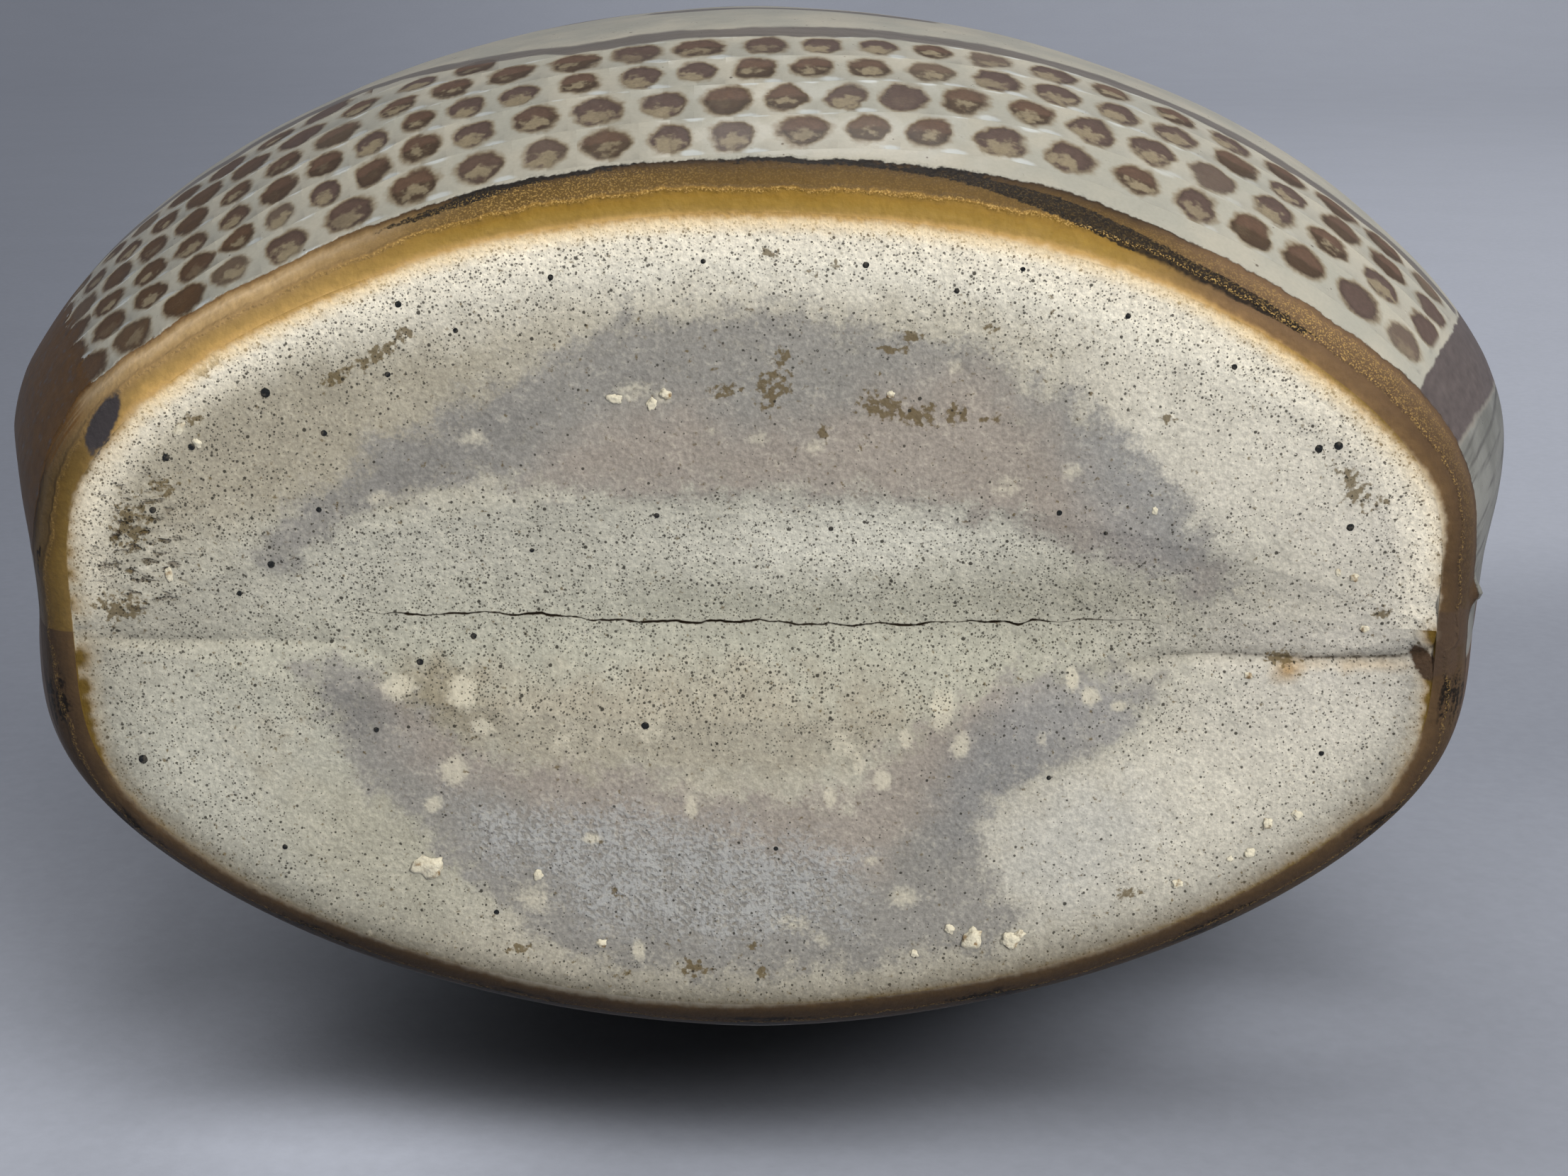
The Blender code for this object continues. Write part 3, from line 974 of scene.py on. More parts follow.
    def sides(self, kit: Glassware, shown: Value, around: Value, climb: Value) -> Tuple[Value, Value]:
        """Paint the corner stripes and the streaked ends, whose darker greys are partly painted shade.

        Args:
            kit: The material at work.
            shown: The colour so far.
            around: Distance round the vase.
            climb: Distance up from the clay.

        Returns:
            The colour with its stripes, and how much a place lies on a stripe.
        """
        panel = kit.stored("panel")
        mottle, rusty = kit.clouds(0.9, 5.0), kit.stored("rusty")
        wobble = panel + kit.waver(0.35, 3.0, 1.4)
        creeping = rusty * (mottle * -7.0 + 1.5)
        upright = kit.hairs(4.0, around * 0.8, climb * 0.05)
        # The ends: streaked glaze in greys that hold painted shade.
        cloudy = kit.blend(kit.clouds(0.12, 3.0).ease(0.35, 0.65), self.ends, self.smoke)
        ends = kit.blend(upright.ease(0.5, 0.7) * 0.8, cloudy, self.streak)
        past = wobble + kit.stored("stripe")
        shown = kit.blend(past.ease(0.4, -0.6), shown, ends)
        bar = (wobble + creeping).ease(-0.1, -0.5) * past.ease(-0.6, 0.6)
        tone = kit.blend(rusty * mottle.ease(0.25, 0.45), self.stripe, self.rust)
        scratches = kit.hairs(4.0, around * 1.1, climb * 0.3)
        tone = kit.tint(tone, scratches * 0.5 + mottle * 0.5, 0.4, 1.6)
        return kit.blend(bar, shown, tone), bar

    def material(self) -> Material:
        """Wire the wall's finish.

        Returns:
            The material of both outer walls.
        """
        kit = Glassware("dotted_glaze")
        around, climb = kit.stored("around"), kit.stored("climb")
        drift = kit.clouds(0.12, 4.0)
        pale = kit.blend(drift.ease(0.35, 0.65), self.cool, self.pale)
        pale = kit.tint(pale, kit.clouds(2.4, 3.0), 0.9, 1.1)
        flecks = kit.specks(0.8, 0.16, 0.1, 5.0) * 0.75
        pale = kit.blend(flecks, pale, self.dark)
        shown, core, swell = self.dots(kit, pale)
        shown = self.upper(kit, shown, around, climb)
        shown, bar = self.sides(kit, shown, around, climb)
        ragged = kit.clouds(0.3, 4.0, kit.join(around, climb * 0.4))
        fine = kit.waver(1.6, 3.0, 0.1)
        band = kit.stored("band") + ragged * 0.22 + fine - 0.11
        foot = FootBand()
        clay = kit.tint(RawClay().cream, kit.clouds(1.9, 3.0), 0.74, 1.26)
        # Painted shade: the clay beside the band darkens towards the back's edge.
        clay = kit.tint(clay, kit.stored("painted_edge_shade"), 0.0, 1.0)
        banded = foot.fringe(kit, kit.stored("gap"), clay, foot.colour(kit, band, around, climb))
        covered = band.ease(1.02, 0.975)
        shown = kit.blend(covered, shown, banded)
        patch = kit.clouds(1.2, 3.0) * 0.5 + kit.stored("slate") - 0.25
        shown = kit.blend(patch.ease(0.0, 0.25), shown, RawClay().slate)
        spill = kit.clouds(0.9, 3.0) + kit.stored("stain") - 0.5
        shown = kit.blend(spill.ease(0.2, 0.6) * 0.9, shown, RawClay().stain)
        rough = core.most(bar) * 0.16 + covered * 0.22 + kit.clouds(1.1, 3.0) * 0.12 + 0.24
        ridge = band.ease(0.36, 0.43) * band.ease(0.52, 0.45)
        waves = kit.clouds(0.16, 2.0) * 1.2 - core * 0.22 + swell * 1.3 + kit.clouds(2.6, 3.0) * 0.08
        waves += band.ease(0.96, 1.06) * 0.7 + kit.clouds(1.6, 4.0) * covered * 0.4 + ridge * 0.4
        return kit.finish(shown, rough, kit.relief(waves, 0.3), 0.4, 0.12)


@dataclass(frozen=True)
class PlainGlaze:
    """Pale glaze without dots, for the neck and the inside."""

    name: str
    pale: Colour = linear(200, 197, 185)
    cool: Colour = linear(176, 174, 163)
    iron: Colour = linear(96, 72, 54)
    drip_from: float = 1000.0

    def material(self) -> Material:
        """Wire the glaze, with iron that has run down from the lip.

        Returns:
            The material.
        """
        kit = Glassware(self.name)
        drift = kit.clouds(0.11, 4.0)
        colour = kit.blend(drift.ease(0.35, 0.65), self.cool, self.pale)
        colour = kit.tint(colour, kit.clouds(2.2, 3.0), 0.9, 1.08)
        colour = kit.blend(kit.specks(0.5, 0.16, 0.12, 5.0) * 0.7, colour, self.iron)
        height = kit.place[2]
        runs = kit.clouds(0.35, 2.0, kit.stretch(kit.place, (1, 1, 0.06)))
        drip = (runs - 0.5) * 16.0 + height
        colour = kit.blend(drip.ease(self.drip_from, self.drip_from + 2.0), colour, self.iron)
        rough = kit.clouds(0.9, 3.0) * 0.15 + 0.18
        rings = kit.clouds(0.5, 2.0, kit.stretch(kit.place, (0.05, 0.05, 1.3)))
        return kit.finish(colour, rough, kit.relief(kit.clouds(0.3, 3.0) + rings, 0.25), 0.5, 0.25)


@dataclass(frozen=True)
class IronGlaze:
    """Dark iron glaze that breaks to amber on edges: the lip and fired specks."""

    name: str
    dark: Colour = linear(62, 44, 32)
    amber: Colour = linear(146, 102, 54)
    grain: float = 0.8

    def material(self) -> Material:
        """Wire the iron glaze.

        Returns:
            The material.
        """
        kit = Glassware(self.name)
        breaks = kit.clouds(self.grain, 5.0)
        colour = kit.blend(breaks.ease(0.48, 0.66), self.dark, self.amber)
        colour = kit.tint(colour, kit.clouds(self.grain * 4, 3.0), 0.7, 1.3)
        rough = breaks * 0.25 + 0.16
        return kit.finish(colour, rough, kit.relief(breaks, 0.12), 0.5, 0.3)


@dataclass(frozen=True)
class GritClay:
    """Crumbs of kiln wash and grog that stuck to the base."""

    light: Colour = linear(222, 214, 190)
    brown: Colour = linear(140, 116, 82)

    def material(self) -> Material:
        """Wire the crumbs' clay.

        Returns:
            The material.
        """
        kit = Glassware("kiln_crumb")
        colour = kit.blend(kit.clouds(1.2, 4.0).ease(0.5, 0.72), self.light, self.brown)
        colour = kit.tint(colour, kit.clouds(5.0, 3.0), 0.75, 1.2)
        return kit.finish(colour, 0.85, kit.relief(kit.clouds(3.0, 4.0), 0.15), 0.3, 0.0)


@dataclass(frozen=True)
class StudioPaper:
    """Smooth grey paper under the vase, seen from one side only."""

    name: str
    tone: Colour = linear(176, 180, 191)
    dim: Colour = linear(116, 120, 130)
    # Painted shadows and pools of light on the paper: middle across, depth away, half width, half depth and
    # gain; a gain under 1 is a painted shadow.
    painted_light_and_shadow: Sequence[Tuple[float, float, float, float, float]] = (
        (-16, 36.8, 46, 37, 0.36), (4, 12, 26, 12, 0.84), (-45, 8, 34, 21, 1.42), (52, 40, 38, 22, 1.5),
        (-67, 40, 20, 20, 1.28),
    )
    seen_only: bool = False

    def material(self) -> Material:
        """Wire the paper, with painted shade, painted shadows and painted pools of light on it.

        Returns:
            The material; its back, and all of it for a paper that is only seen, lets light through.
        """
        kit = Glassware(self.name)
        across, away = kit.place[0], kit.place[2]
        # Painted shade: the paper darkens towards the left, and in a soft painted shadow right of the vase.
        slant = across / (away * 0.42 + 260.0)
        shade = slant.ease(0.62, -0.72) * away.ease(-10.0, 170.0)
        beside = away.ease(50.0, 160.0) * away.ease(330.0, 210.0)
        shade = shade.most(beside * across.ease(60.0, 95.0) * 0.5)
        colour = kit.blend(shade, self.tone, self.dim)
        # Painted shadows and painted pools of light, each a soft oval.
        for middle, depth, wide, deep, gain in self.painted_light_and_shadow:
            beside = (across - middle) / wide
            behind = (away - depth) / deep
            square = beside * beside + behind * behind
            colour = kit.tint(colour, square.root().ease(1.0, 0.08), 1.0, gain)
        # Painted fall-off of light: the far paper darkens, most towards the right.
        far = away.ease(500.0, 2200.0) * across.ease(-250.0, 250.0)
        colour = kit.blend(far * 0.35, colour, self.dim)
        colour = kit.tint(colour, kit.clouds(0.02, 3.0), 0.97, 1.03)
        colour = kit.tint(colour, kit.clouds(0.5, 5.0), 0.93, 1.07)
        kit.finish(colour, 0.9, kit.relief(kit.clouds(1.2, 3.0), 0.05), 0.1, 0.0)
        through = kit.add("NewGeometry", "Backfacing")
        if self.seen_only:
            through = through.most(1.0 - kit.add("LightPath", "Is Camera Ray"))
        painted = Value(kit, kit.shader.outputs[0])
        mixed = kit.add("MixShader", 0, through, painted, kit.add("BsdfTransparent", 0))
        kit.feed(kit.output.inputs["Surface"], mixed)
        return kit.material


@dataclass
class PaintLine:
    """Where the iron band really begins and ends, measured round the foot in degrees and millimetres."""

    front_start: Outline = (
        (0, -0.3), (8.9, -0.6), (14, -0.05), (17, 0.1), (21, 0.1), (25, -0.35), (31, -0.75), (41, -0.58),
        (49, -0.23), (56, 0.24), (63, 0.36), (69, 0.27), (74, 0.0), (80, -0.17), (85, -0.42), (91, -0.45),
        (99, -0.13), (104, -0.12), (110, 0.17), (116, 0.17), (122, -0.4), (129, -0.42), (133, -0.31),
        (137, -0.12), (141, -0.31), (146, 0.09), (150, -0.5), (155, -0.6), (161, -0.45), (166, -0.8),
        (171, -0.8), (180, -0.7),
    )
    back_start: Outline = (
        (0, 0.0), (1.7, -0.3), (3, -2.6), (5, -2.2), (9, -1.7), (13, -1.1), (17, -0.3), (22, -0.2),
        (27, 0.45), (31, -0.45), (36, -0.6), (45, -0.48), (53, -0.37), (60, -0.08), (67, -0.15), (73, -0.33),
        (82, -0.5), (91, -0.08), (100, 0.23), (109, 0.18), (115, -0.21), (129, -0.13), (137, 0.06),
        (146, -0.19), (152, -0.11), (157, -0.23), (161, -1.0), (167, -1.7), (173, -1.4), (179, -0.8),
        (180, -0.7)
    )
    front_end: Outline = (
        (0, 6.4), (4, 7.0), (11, 5.8), (16, 6.3), (21, 6.7), (24, 6.9), (31, 7.1), (40, 6.0), (48, 6.2),
        (55, 6.4), (61, 6.9), (67, 7.6), (72, 7.3), (78, 6.9), (85, 6.4), (91, 6.2), (98, 6.4), (109, 6.4),
        (114, 6.0), (120, 5.7), (127, 5.3), (134, 5.6), (142, 6.2), (151, 8.0), (157, 6.6), (163, 5.0),
        (168, 5.4), (173, 8.0), (180, 9.0),
    )

    def start(self, half: Half, degrees: Grid) -> Grid:
        """How far outside the foot's inner edge the band begins."""
        return follow(self.front_start if half is Half.FRONT else self.back_start, degrees)

    def end(self, half: Half, degrees: Grid) -> Grid:
        """How far up the skin the pale glaze begins."""
        if half is Half.BACK:
            waves = 0.5 * np.sin(np.radians(degrees) * 5) + 0.3 * np.sin(np.radians(degrees) * 13)
            return 6.3 + waves + 2.7 * smooth(164, 177, degrees)
        return follow(self.front_end, degrees)


@dataclass
class DotRows:
    """Where the four rows of dots run on the front."""

    pitch: float = 6.6
    step: float = 6.2
    beyond: float = 200.0
    back_lines: Sequence[float] = (10.4, 16.8, 23.0, 29.2)
    lines: Sequence[Tuple[float, float, float, float, float]] = (
        (0, 12.4, 20.0, 26.6, 33.0), (30, 12.6, 20.2, 26.8, 33.2), (46, 12.8, 20.3, 26.8, 33.2),
        (60, 13.0, 20.2, 26.8, 33.2), (67, 13.3, 20.0, 26.6, 33.1), (72, 13.1, 20.0, 26.5, 33.0),
        (77, 12.3, 19.0, 25.4, 31.9), (82, 11.5, 17.8, 24.2, 30.7), (86, 10.8, 16.6, 22.9, 29.2),
        (91, 9.9, 15.9, 22.1, 28.2), (96, 9.9, 15.9, 22.1, 28.0), (105, 10.1, 16.5, 22.3, 28.3),
        (115, 9.7, 16.3, 22.1, 28.0), (120, 9.2, 14.4, 20.3, 26.8), (127, 8.3, 14.2, 19.6, 25.5),
        (132, 9.3, 13.5, 18.7, 24.7), (137, 8.6, 13.2, 18.6, 24.9), (143, 9.3, 15.0, 20.1, 25.8),
        (150, 11.3, 16.8, 22.5, 27.5), (180, 11.3, 16.8, 22.5, 27.5),
    )
    centres: Sequence[Sequence[float]] = (
        (33.4, 39.9, 46.0, 51.4, 56.1, 61.0, 66.9, 71.9, 77.4, 81.5, 86.4, 91.4, 95.9, 100.4, 105.0, 110.0,
         115.2, 120.8, 126.6, 131.6, 137.0, 142.6, 149.0),
        (31.8, 37.6, 43.8, 49.5, 55.0, 60.4, 65.5, 70.1, 74.9, 79.4, 83.4, 87.6, 92.0, 96.4, 101.0, 105.6,
         110.5, 114.5, 118.5, 122.5, 126.6, 130.7, 135.1, 140.1, 145.2, 150.6),
        (72.9, 77.4, 81.9, 86.0, 90.0, 94.0, 98.0, 102.4, 106.8, 110.8, 114.5, 118.2, 122.4, 126.6, 130.8,
         135.1, 139.8, 144.6, 149.8),
        (73.4, 77.4, 81.4, 85.4, 89.2, 93.9, 98.4, 102.9, 107.5, 111.6, 116.1, 120.9, 126.1,
         130.5, 134.9, 139.1, 143.4, 147.8),
    )

    def cells(self, row: int, degrees: Grid, travel: Grid) -> Grid:
        """Count dots along a row: each dot's centre is at a half.

        Args:
            row: 0 to 3, from the foot up.
            degrees: Angle round the body of each column.
            travel: Distance round the body of each column, in millimetres.

        Returns:
            The count at each column.
        """
        known = list(np.interp(self.centres[row], degrees, travel))
        while known[0] > travel[0]:
            known.insert(0, known[0] - self.pitch)
        while known[-1] < travel[-1]:
            known.append(known[-1] + self.pitch)
        return np.interp(travel, known, np.arange(len(known)) + 0.5)


@dataclass
class OuterWall:
    """One half shell's wall: its glazed skin, rounded foot and inside."""

    half: Half
    fillet: float = 9.0
    bore_low: float = 140.0
    columns: int = 330
    foot_rows: int = 9
    low_rows: int = 68
    high_rows: int = 62
    shoulder_rows: int = 66
    inner_rows: int = 20

    def __post_init__(self) -> None:
        """Space the columns evenly round the body."""
        fine = np.linspace(0, np.pi, 2001)
        ring = SHAPE.skin(self.half, fine, np.full_like(fine, 12 / SHAPE.belly_height), 0)
        travel = np.concatenate([[0], np.cumsum(np.linalg.norm(np.diff(ring, axis=0), axis=1))])
        self.travel = np.linspace(0, travel[-1], self.columns + 1)
        self.turns = np.interp(self.travel, travel, fine)
        self.degrees = np.degrees(self.turns)

    def outer_profile(self) -> Tuple[Grid, Grid]:
        """Rises and insets of the rows from the raw clay up to the shoulder's top."""
        phi = np.linspace(0, np.pi / 2, self.foot_rows + 1)
        round_rise = SHAPE.foot_round * (1 - np.cos(phi)) / SHAPE.belly_height
        inset = SHAPE.foot_round * (1 - np.sin(phi))
        split = 34 / SHAPE.belly_height
        low = np.linspace(round_rise[-1], split, self.low_rows + 1)[1:]
        high = np.linspace(split, 1, self.high_rows + 1)[1:]
        top = np.linspace(1, 2, self.shoulder_rows + 1)[1:]
        rises = np.concatenate([round_rise, low, high, top])
        return rises, np.concatenate([inset, np.zeros(len(low) + len(high) + len(top))])

    def outer_skin(self) -> Tuple[Grid, Grid]:
        """The outer rows, with the unevenness of hand building.

        Returns:
            The points and each one's distance up the skin.
        """
        rises, insets = self.outer_profile()
        around, rise = np.meshgrid(self.turns, rises, indexing="ij")
        points = SHAPE.skin(self.half, around, rise, insets[None, :])
        climb = np.linalg.norm(np.diff(points, axis=1), axis=2).cumsum(axis=1)
        climb = np.concatenate([np.zeros((len(self.turns), 1)), climb], axis=1)
        normal = self.normals(points)
        if self.half is Half.FRONT:
            knob = np.exp(-(((np.degrees(around) - 3.4) / 1.3) ** 2) - ((climb - 7.2) / 0.9) ** 2)
            points = points + normal * (1.1 * knob)[..., None]
        calm = smooth(2.0, 14.0, climb)
        calm = calm * smooth(SHAPE.shoulder_top - 1, SHAPE.shoulder_top - 14, points[..., 2])
        swell = cloud(points, 26.0, 3.1) * 0.35 + cloud(points, 9.0, 8.7) * 0.10
        points = points + normal * (swell * calm)[..., None]
        lower = smooth(4, 30, climb) * smooth(120, 80, points[..., 2])
        points[..., 0] += self.pressed(np.degrees(around)) * lower
        points[0, :, 1] = points[-1, :, 1] = 0
        return points, climb

    def pressed(self, degrees: Grid) -> Grid:
        """How far both ends are pressed in where the halves were luted, positive at the left end."""
        if self.half is Half.FRONT:
            return np.interp(
                degrees, (0, 8, 22, 158, 164, 171, 176, 180), (-1.8, -1.0, 0, 0, 0.8, 2.6, 2.7, 2.4)
            )
        return np.interp(
            degrees, (0, 10, 25, 38, 58, 135, 150, 165, 175, 180),
            (-1.8, -2.8, -3.4, -2.4, 0, 0, 0.8, 1.3, 1.9, 2.4)
        )

    @staticmethod
    def normals(points: Grid) -> Grid:
        """Outward normals of a grid of points."""
        cross = np.cross(np.gradient(points, axis=0), np.gradient(points, axis=1))
        cross /= np.maximum(np.linalg.norm(cross, axis=-1, keepdims=True), 1e-9)
        flip = np.sign((cross[..., :2] * points[..., :2]).sum(-1).mean())
        return cross * flip

    def inner_skin(self) -> Grid:
        """The rows through the bore and down the inside to the joint with the base."""
        low = (SHAPE.floor + self.fillet) / SHAPE.belly_height
        rises = np.linspace(2, low, self.inner_rows + 1)
        around, rise = np.meshgrid(self.turns, rises, indexing="ij")
        skin = SHAPE.skin(self.half, around, rise, 0)
        sunk = skin - self.normals(skin) * SHAPE.wall
        sunk[0, :, 1] = sunk[-1, :, 1] = 0
        bore = SHAPE.bore_radius * np.stack([np.cos(self.turns), self.half.value * np.sin(self.turns)], -1)
        levels = (SHAPE.shoulder_top, self.bore_low)
        rim = [np.dstack([bore[:, None], np.full((len(bore), 1, 1), z)]) for z in levels]
        foot = SHAPE.foot_line(self.half, self.turns)
        foot[0, 1] = foot[-1, 1] = 0
        joint = foot[:, None, :].repeat(2, axis=1)
        joint[:, 0, 2] = SHAPE.floor
        joint[:, 1, 2] = SHAPE.floor / 2
        return np.concatenate([*rim, sunk, joint, foot[:, None, :]], axis=1)

    def build(self, name: str) -> Piece:
        """Model the wall and store what its finish needs.

        Args:
            name: The piece's name.

        Returns:
            The closed wall.
        """
        outer, climb = self.outer_skin()
        inner = self.inner_skin()
        piece = Bench.sheet(name, np.concatenate([outer, inner], axis=1))
        self.store(piece, outer, climb, inner.shape[1])
        Bench.close(piece, caps=True)
        return piece

    def store(self, piece: Piece, outer: Grid, climb: Grid, inner_rows: int) -> None:
        """Store the places of band, dots, stripes and strokes on the mesh.

        Args:
            piece: The wall.
            outer: Points of its outer rows.
            climb: Their distance up the skin.
            inner_rows: How many rows lie inside.
        """
        paint, rows = PaintLine(), DotRows()
        degrees = self.degrees[:, None] + 0 * climb
        start = paint.start(self.half, self.degrees)[:, None]
        end = paint.end(self.half, self.degrees)[:, None]
        ends_left = (180 - 29.5) + 0.03 * climb
        ends_right = 30.8 - 0.09 * np.clip(climb - 7, 0, 70)
        panel = np.minimum(degrees - ends_right, ends_left - degrees) * MM_PER_DEGREE
        table = np.array(rows.lines)
        lines = [np.interp(self.degrees, table[:, 0], table[:, index + 1]) for index in range(4)]
        if self.half is Half.BACK:
            lines = [np.full(len(self.degrees), mid) for mid in rows.back_lines]
        first, above = lines[0] - rows.step, lines[3] + rows.step
        known = np.stack([first - rows.step, first, *lines, above, above + rows.beyond], -1)
        row = np.stack(
            [np.interp(climb[i], known[i], (-1, 0, 1, 2, 3, 4, 5, 37)) for i in range(len(known))]
        )
        front = float(self.half is Half.FRONT)
        layers: Dict[str, Grid] = {
            "around": self.travel[:, None] * self.half.value + 0 * climb,
            "climb": climb,
            "gap": climb - start,
            "band": (climb - start) / (end - start),
            "row": row,
            "panel": panel,
            "side": np.full(climb.shape, float(self.half.value)),
            "west": smooth(108, 132, degrees) * (1 - 0.7 * smooth(150, 160, degrees)) * front,
            "east": np.maximum(smooth(64, 50, degrees), 1 - front),
            "soot": self.soot(degrees, climb / end),
            "gilt": self.gilt(degrees),
            "ember": smooth(149, 153, degrees) * smooth(161, 157, degrees) * smooth(3.2, 4.8, climb) * front,
            "glow": self.glow(self.half, degrees),
            "solid": smooth(112, 124, degrees) * 0.5 + 0.5 * smooth(60, 48, degrees),
            # Painted shade on the clay fringe towards the back's edge.
            "painted_edge_shade": BaseSlab.painted_edge_shade(self.half, degrees, -climb),
            # Where the painted highlights show: the middle of the front.
            "painted_highlight": smooth(40, 75, degrees) * front,
            "last_row": 4.5 + front * 2.1 * np.interp(degrees, (103, 113, 124), (0, 0.45, 1)),
            "rusty": smooth(120, 140, degrees) * front + 0.7 * (1 - front),
            "stripe": np.interp(degrees, (0, 149, 156, 180), (9.0, 9.0, 24.0, 24.0)) + 20.0 * (1 - front),
            "slate": self.oval(degrees, climb) * front - (1 - front),
            "stain": np.maximum(
                smooth(3.4, 1.6, degrees) * (1 - 0.3 * front) * smooth(7, 3, climb),
                smooth(8, 5, degrees) * (1 - front) * smooth(3.6, 2.0, climb),
            ),
            "brush": self.brush(outer, climb),
        }
        for index in range(4):
            cells = rows.cells(index, self.degrees, self.travel)
            layers[f"cell_{index + 1}"] = cells[:, None] + 0 * climb
        Bench.paint(piece, layers, inner_rows, rim_rows=1)

    @staticmethod
    def oval(degrees: Grid, climb: Grid) -> Grid:
        """A dark oval spot of fired iron across the foot at the left: 1 at its middle and 0 at its edge."""
        across, up = (degrees - 150.4) * MM_PER_DEGREE, climb - 1.64
        along, beside = 0.97 * across - 0.25 * up, 0.25 * across + 0.97 * up
        return np.clip(1 - np.hypot(along / 4.9, beside / 1.6), -0.5, 1)

    @staticmethod
    def glow(half: Half, degrees: Grid) -> Grid:
        """How brightly the clay glows along the band: all round the front and weakly at the back. Where it
        is weak the band is darkened too, which at the back is painted shade.
        """
        if half is Half.FRONT:
            return np.interp(
                degrees, (0, 8, 16, 25, 35, 42, 144, 150, 155, 162, 168, 180),
                (0.3, 0.32, 0.42, 0.58, 0.82, 1, 1, 0.6, 0.3, 0.32, 0.36, 0.3)
            )
        return np.interp(
            degrees, (0, 12, 20, 35, 60, 90, 125, 140, 155, 180),
            (0.3, 0.39, 0.32, 0.25, 0.18, 0.08, 0.05, 0.2, 0.26, 0.31)
        )

    def soot(self, degrees: Grid, share: Grid) -> Grid:
        """Where the band is burnt black: a streak right of the middle and the border to the glaze."""
        if self.half is Half.BACK:
            return 0.45 + 0.25 * np.sin(np.radians(degrees) * 9) ** 2
        line = np.interp(
            degrees, (0, 42, 50, 56, 61, 65, 70, 76, 82, 100, 125, 180),
            (0.6, 0.42, 0.40, 0.42, 0.52, 0.62, 0.72, 0.84, 0.9, 0.95, 0.7, 0.6)
        )
        near = np.exp(
            -(((share - line) / np.interp(degrees, (46, 54, 68, 76), (0.16, 0.22, 0.2, 0.16))) ** 2)
        )
        amount = np.interp(
            degrees,
            (0, 20, 38, 43, 48, 54, 64, 72, 80, 98, 104, 112, 118, 124, 164, 170, 180),
            (0.5, 0.45, 0.4, 0.8, 1.05, 1.35, 1.45, 1.1, 0.8, 0.6, 0.8, 0.95, 0.7, 0.2, 0.3, 0.8, 0.6),
        )
        border = 0.78 * smooth(0.84, 0.97, share) * smooth(62, 74, degrees) * smooth(124, 110, degrees)
        return np.maximum(near * amount, border)

    def gilt(self, degrees: Grid) -> Grid:
        """Where gold grains spread over the outer half of the band."""
        amount = np.interp(
            degrees, (0, 20, 30, 42, 50, 62, 92, 100, 108, 118, 180),
            (0.1, 0.25, 0.45, 0.7, 0.3, 0.1, 0.1, 0.4, 0.6, 0.1, 0.0)
        )
        return amount * (1.0 if self.half is Half.FRONT else 0.4)

    def brush(self, points: Grid, climb: Grid) -> Grid:
        """Broad iron strokes across the belly, over the dotted border."""
        x, z = points[..., 0], points[..., 2]
        strokes = np.zeros_like(x)
        for middle, height, half_width, thick in ((4, 49, 21, 4.0), (-6, 62, 30, 4.5), (6, 77, 24, 4.0)):
            bend = height + 0.004 * (x - middle) ** 2
            body = smooth(thick, thick * 0.55, np.abs(z - bend))
            strokes = np.maximum(strokes, body * smooth(half_width, half_width - 8, np.abs(x - middle)))
        ring = smooth(3.0, 1.6, np.abs(z - 133))
        return np.maximum(strokes, ring)


@dataclass(frozen=True)
class Mark:
    """An oval mark on the raw clay, in millimetres: its middle, half sizes and turn in degrees."""

    x: float
    y: float
    wide: float
    deep: float
    turn: float = 0.0

    def field(self, places: Grid) -> Grid:
        """1 at the middle, 0 at the edge and less outside."""
        cosine, sine = math.cos(math.radians(self.turn)), math.sin(math.radians(self.turn))
        dx, dy = places[..., 0] - self.x, places[..., 1] - self.y
        along, across = dx * cosine + dy * sine, dy * cosine - dx * sine
        return 1 - np.sqrt((along / self.wide) ** 2 + (across / self.deep) ** 2)


@dataclass(frozen=True)
class Wash:
    """A soft zone of one tone on the raw clay, in millimetres: an outline or an oval mark."""

    tone: Tuple[int, int, int]
    share: float
    soft: float
    ragged: float
    zone: Sequence
    burnt: bool = False

    def cover(self, places: Grid, fray: Grid) -> Grid:
        """How much of the zone's tone shows at each place."""
        if isinstance(self.zone[0], tuple):
            inner = inside_outline(places, self.zone)
        else:
            inner = Mark(*self.zone).field(places) * min(self.zone[2:4])
        return self.share * smooth(-self.soft, self.soft, inner + fray * self.ragged)


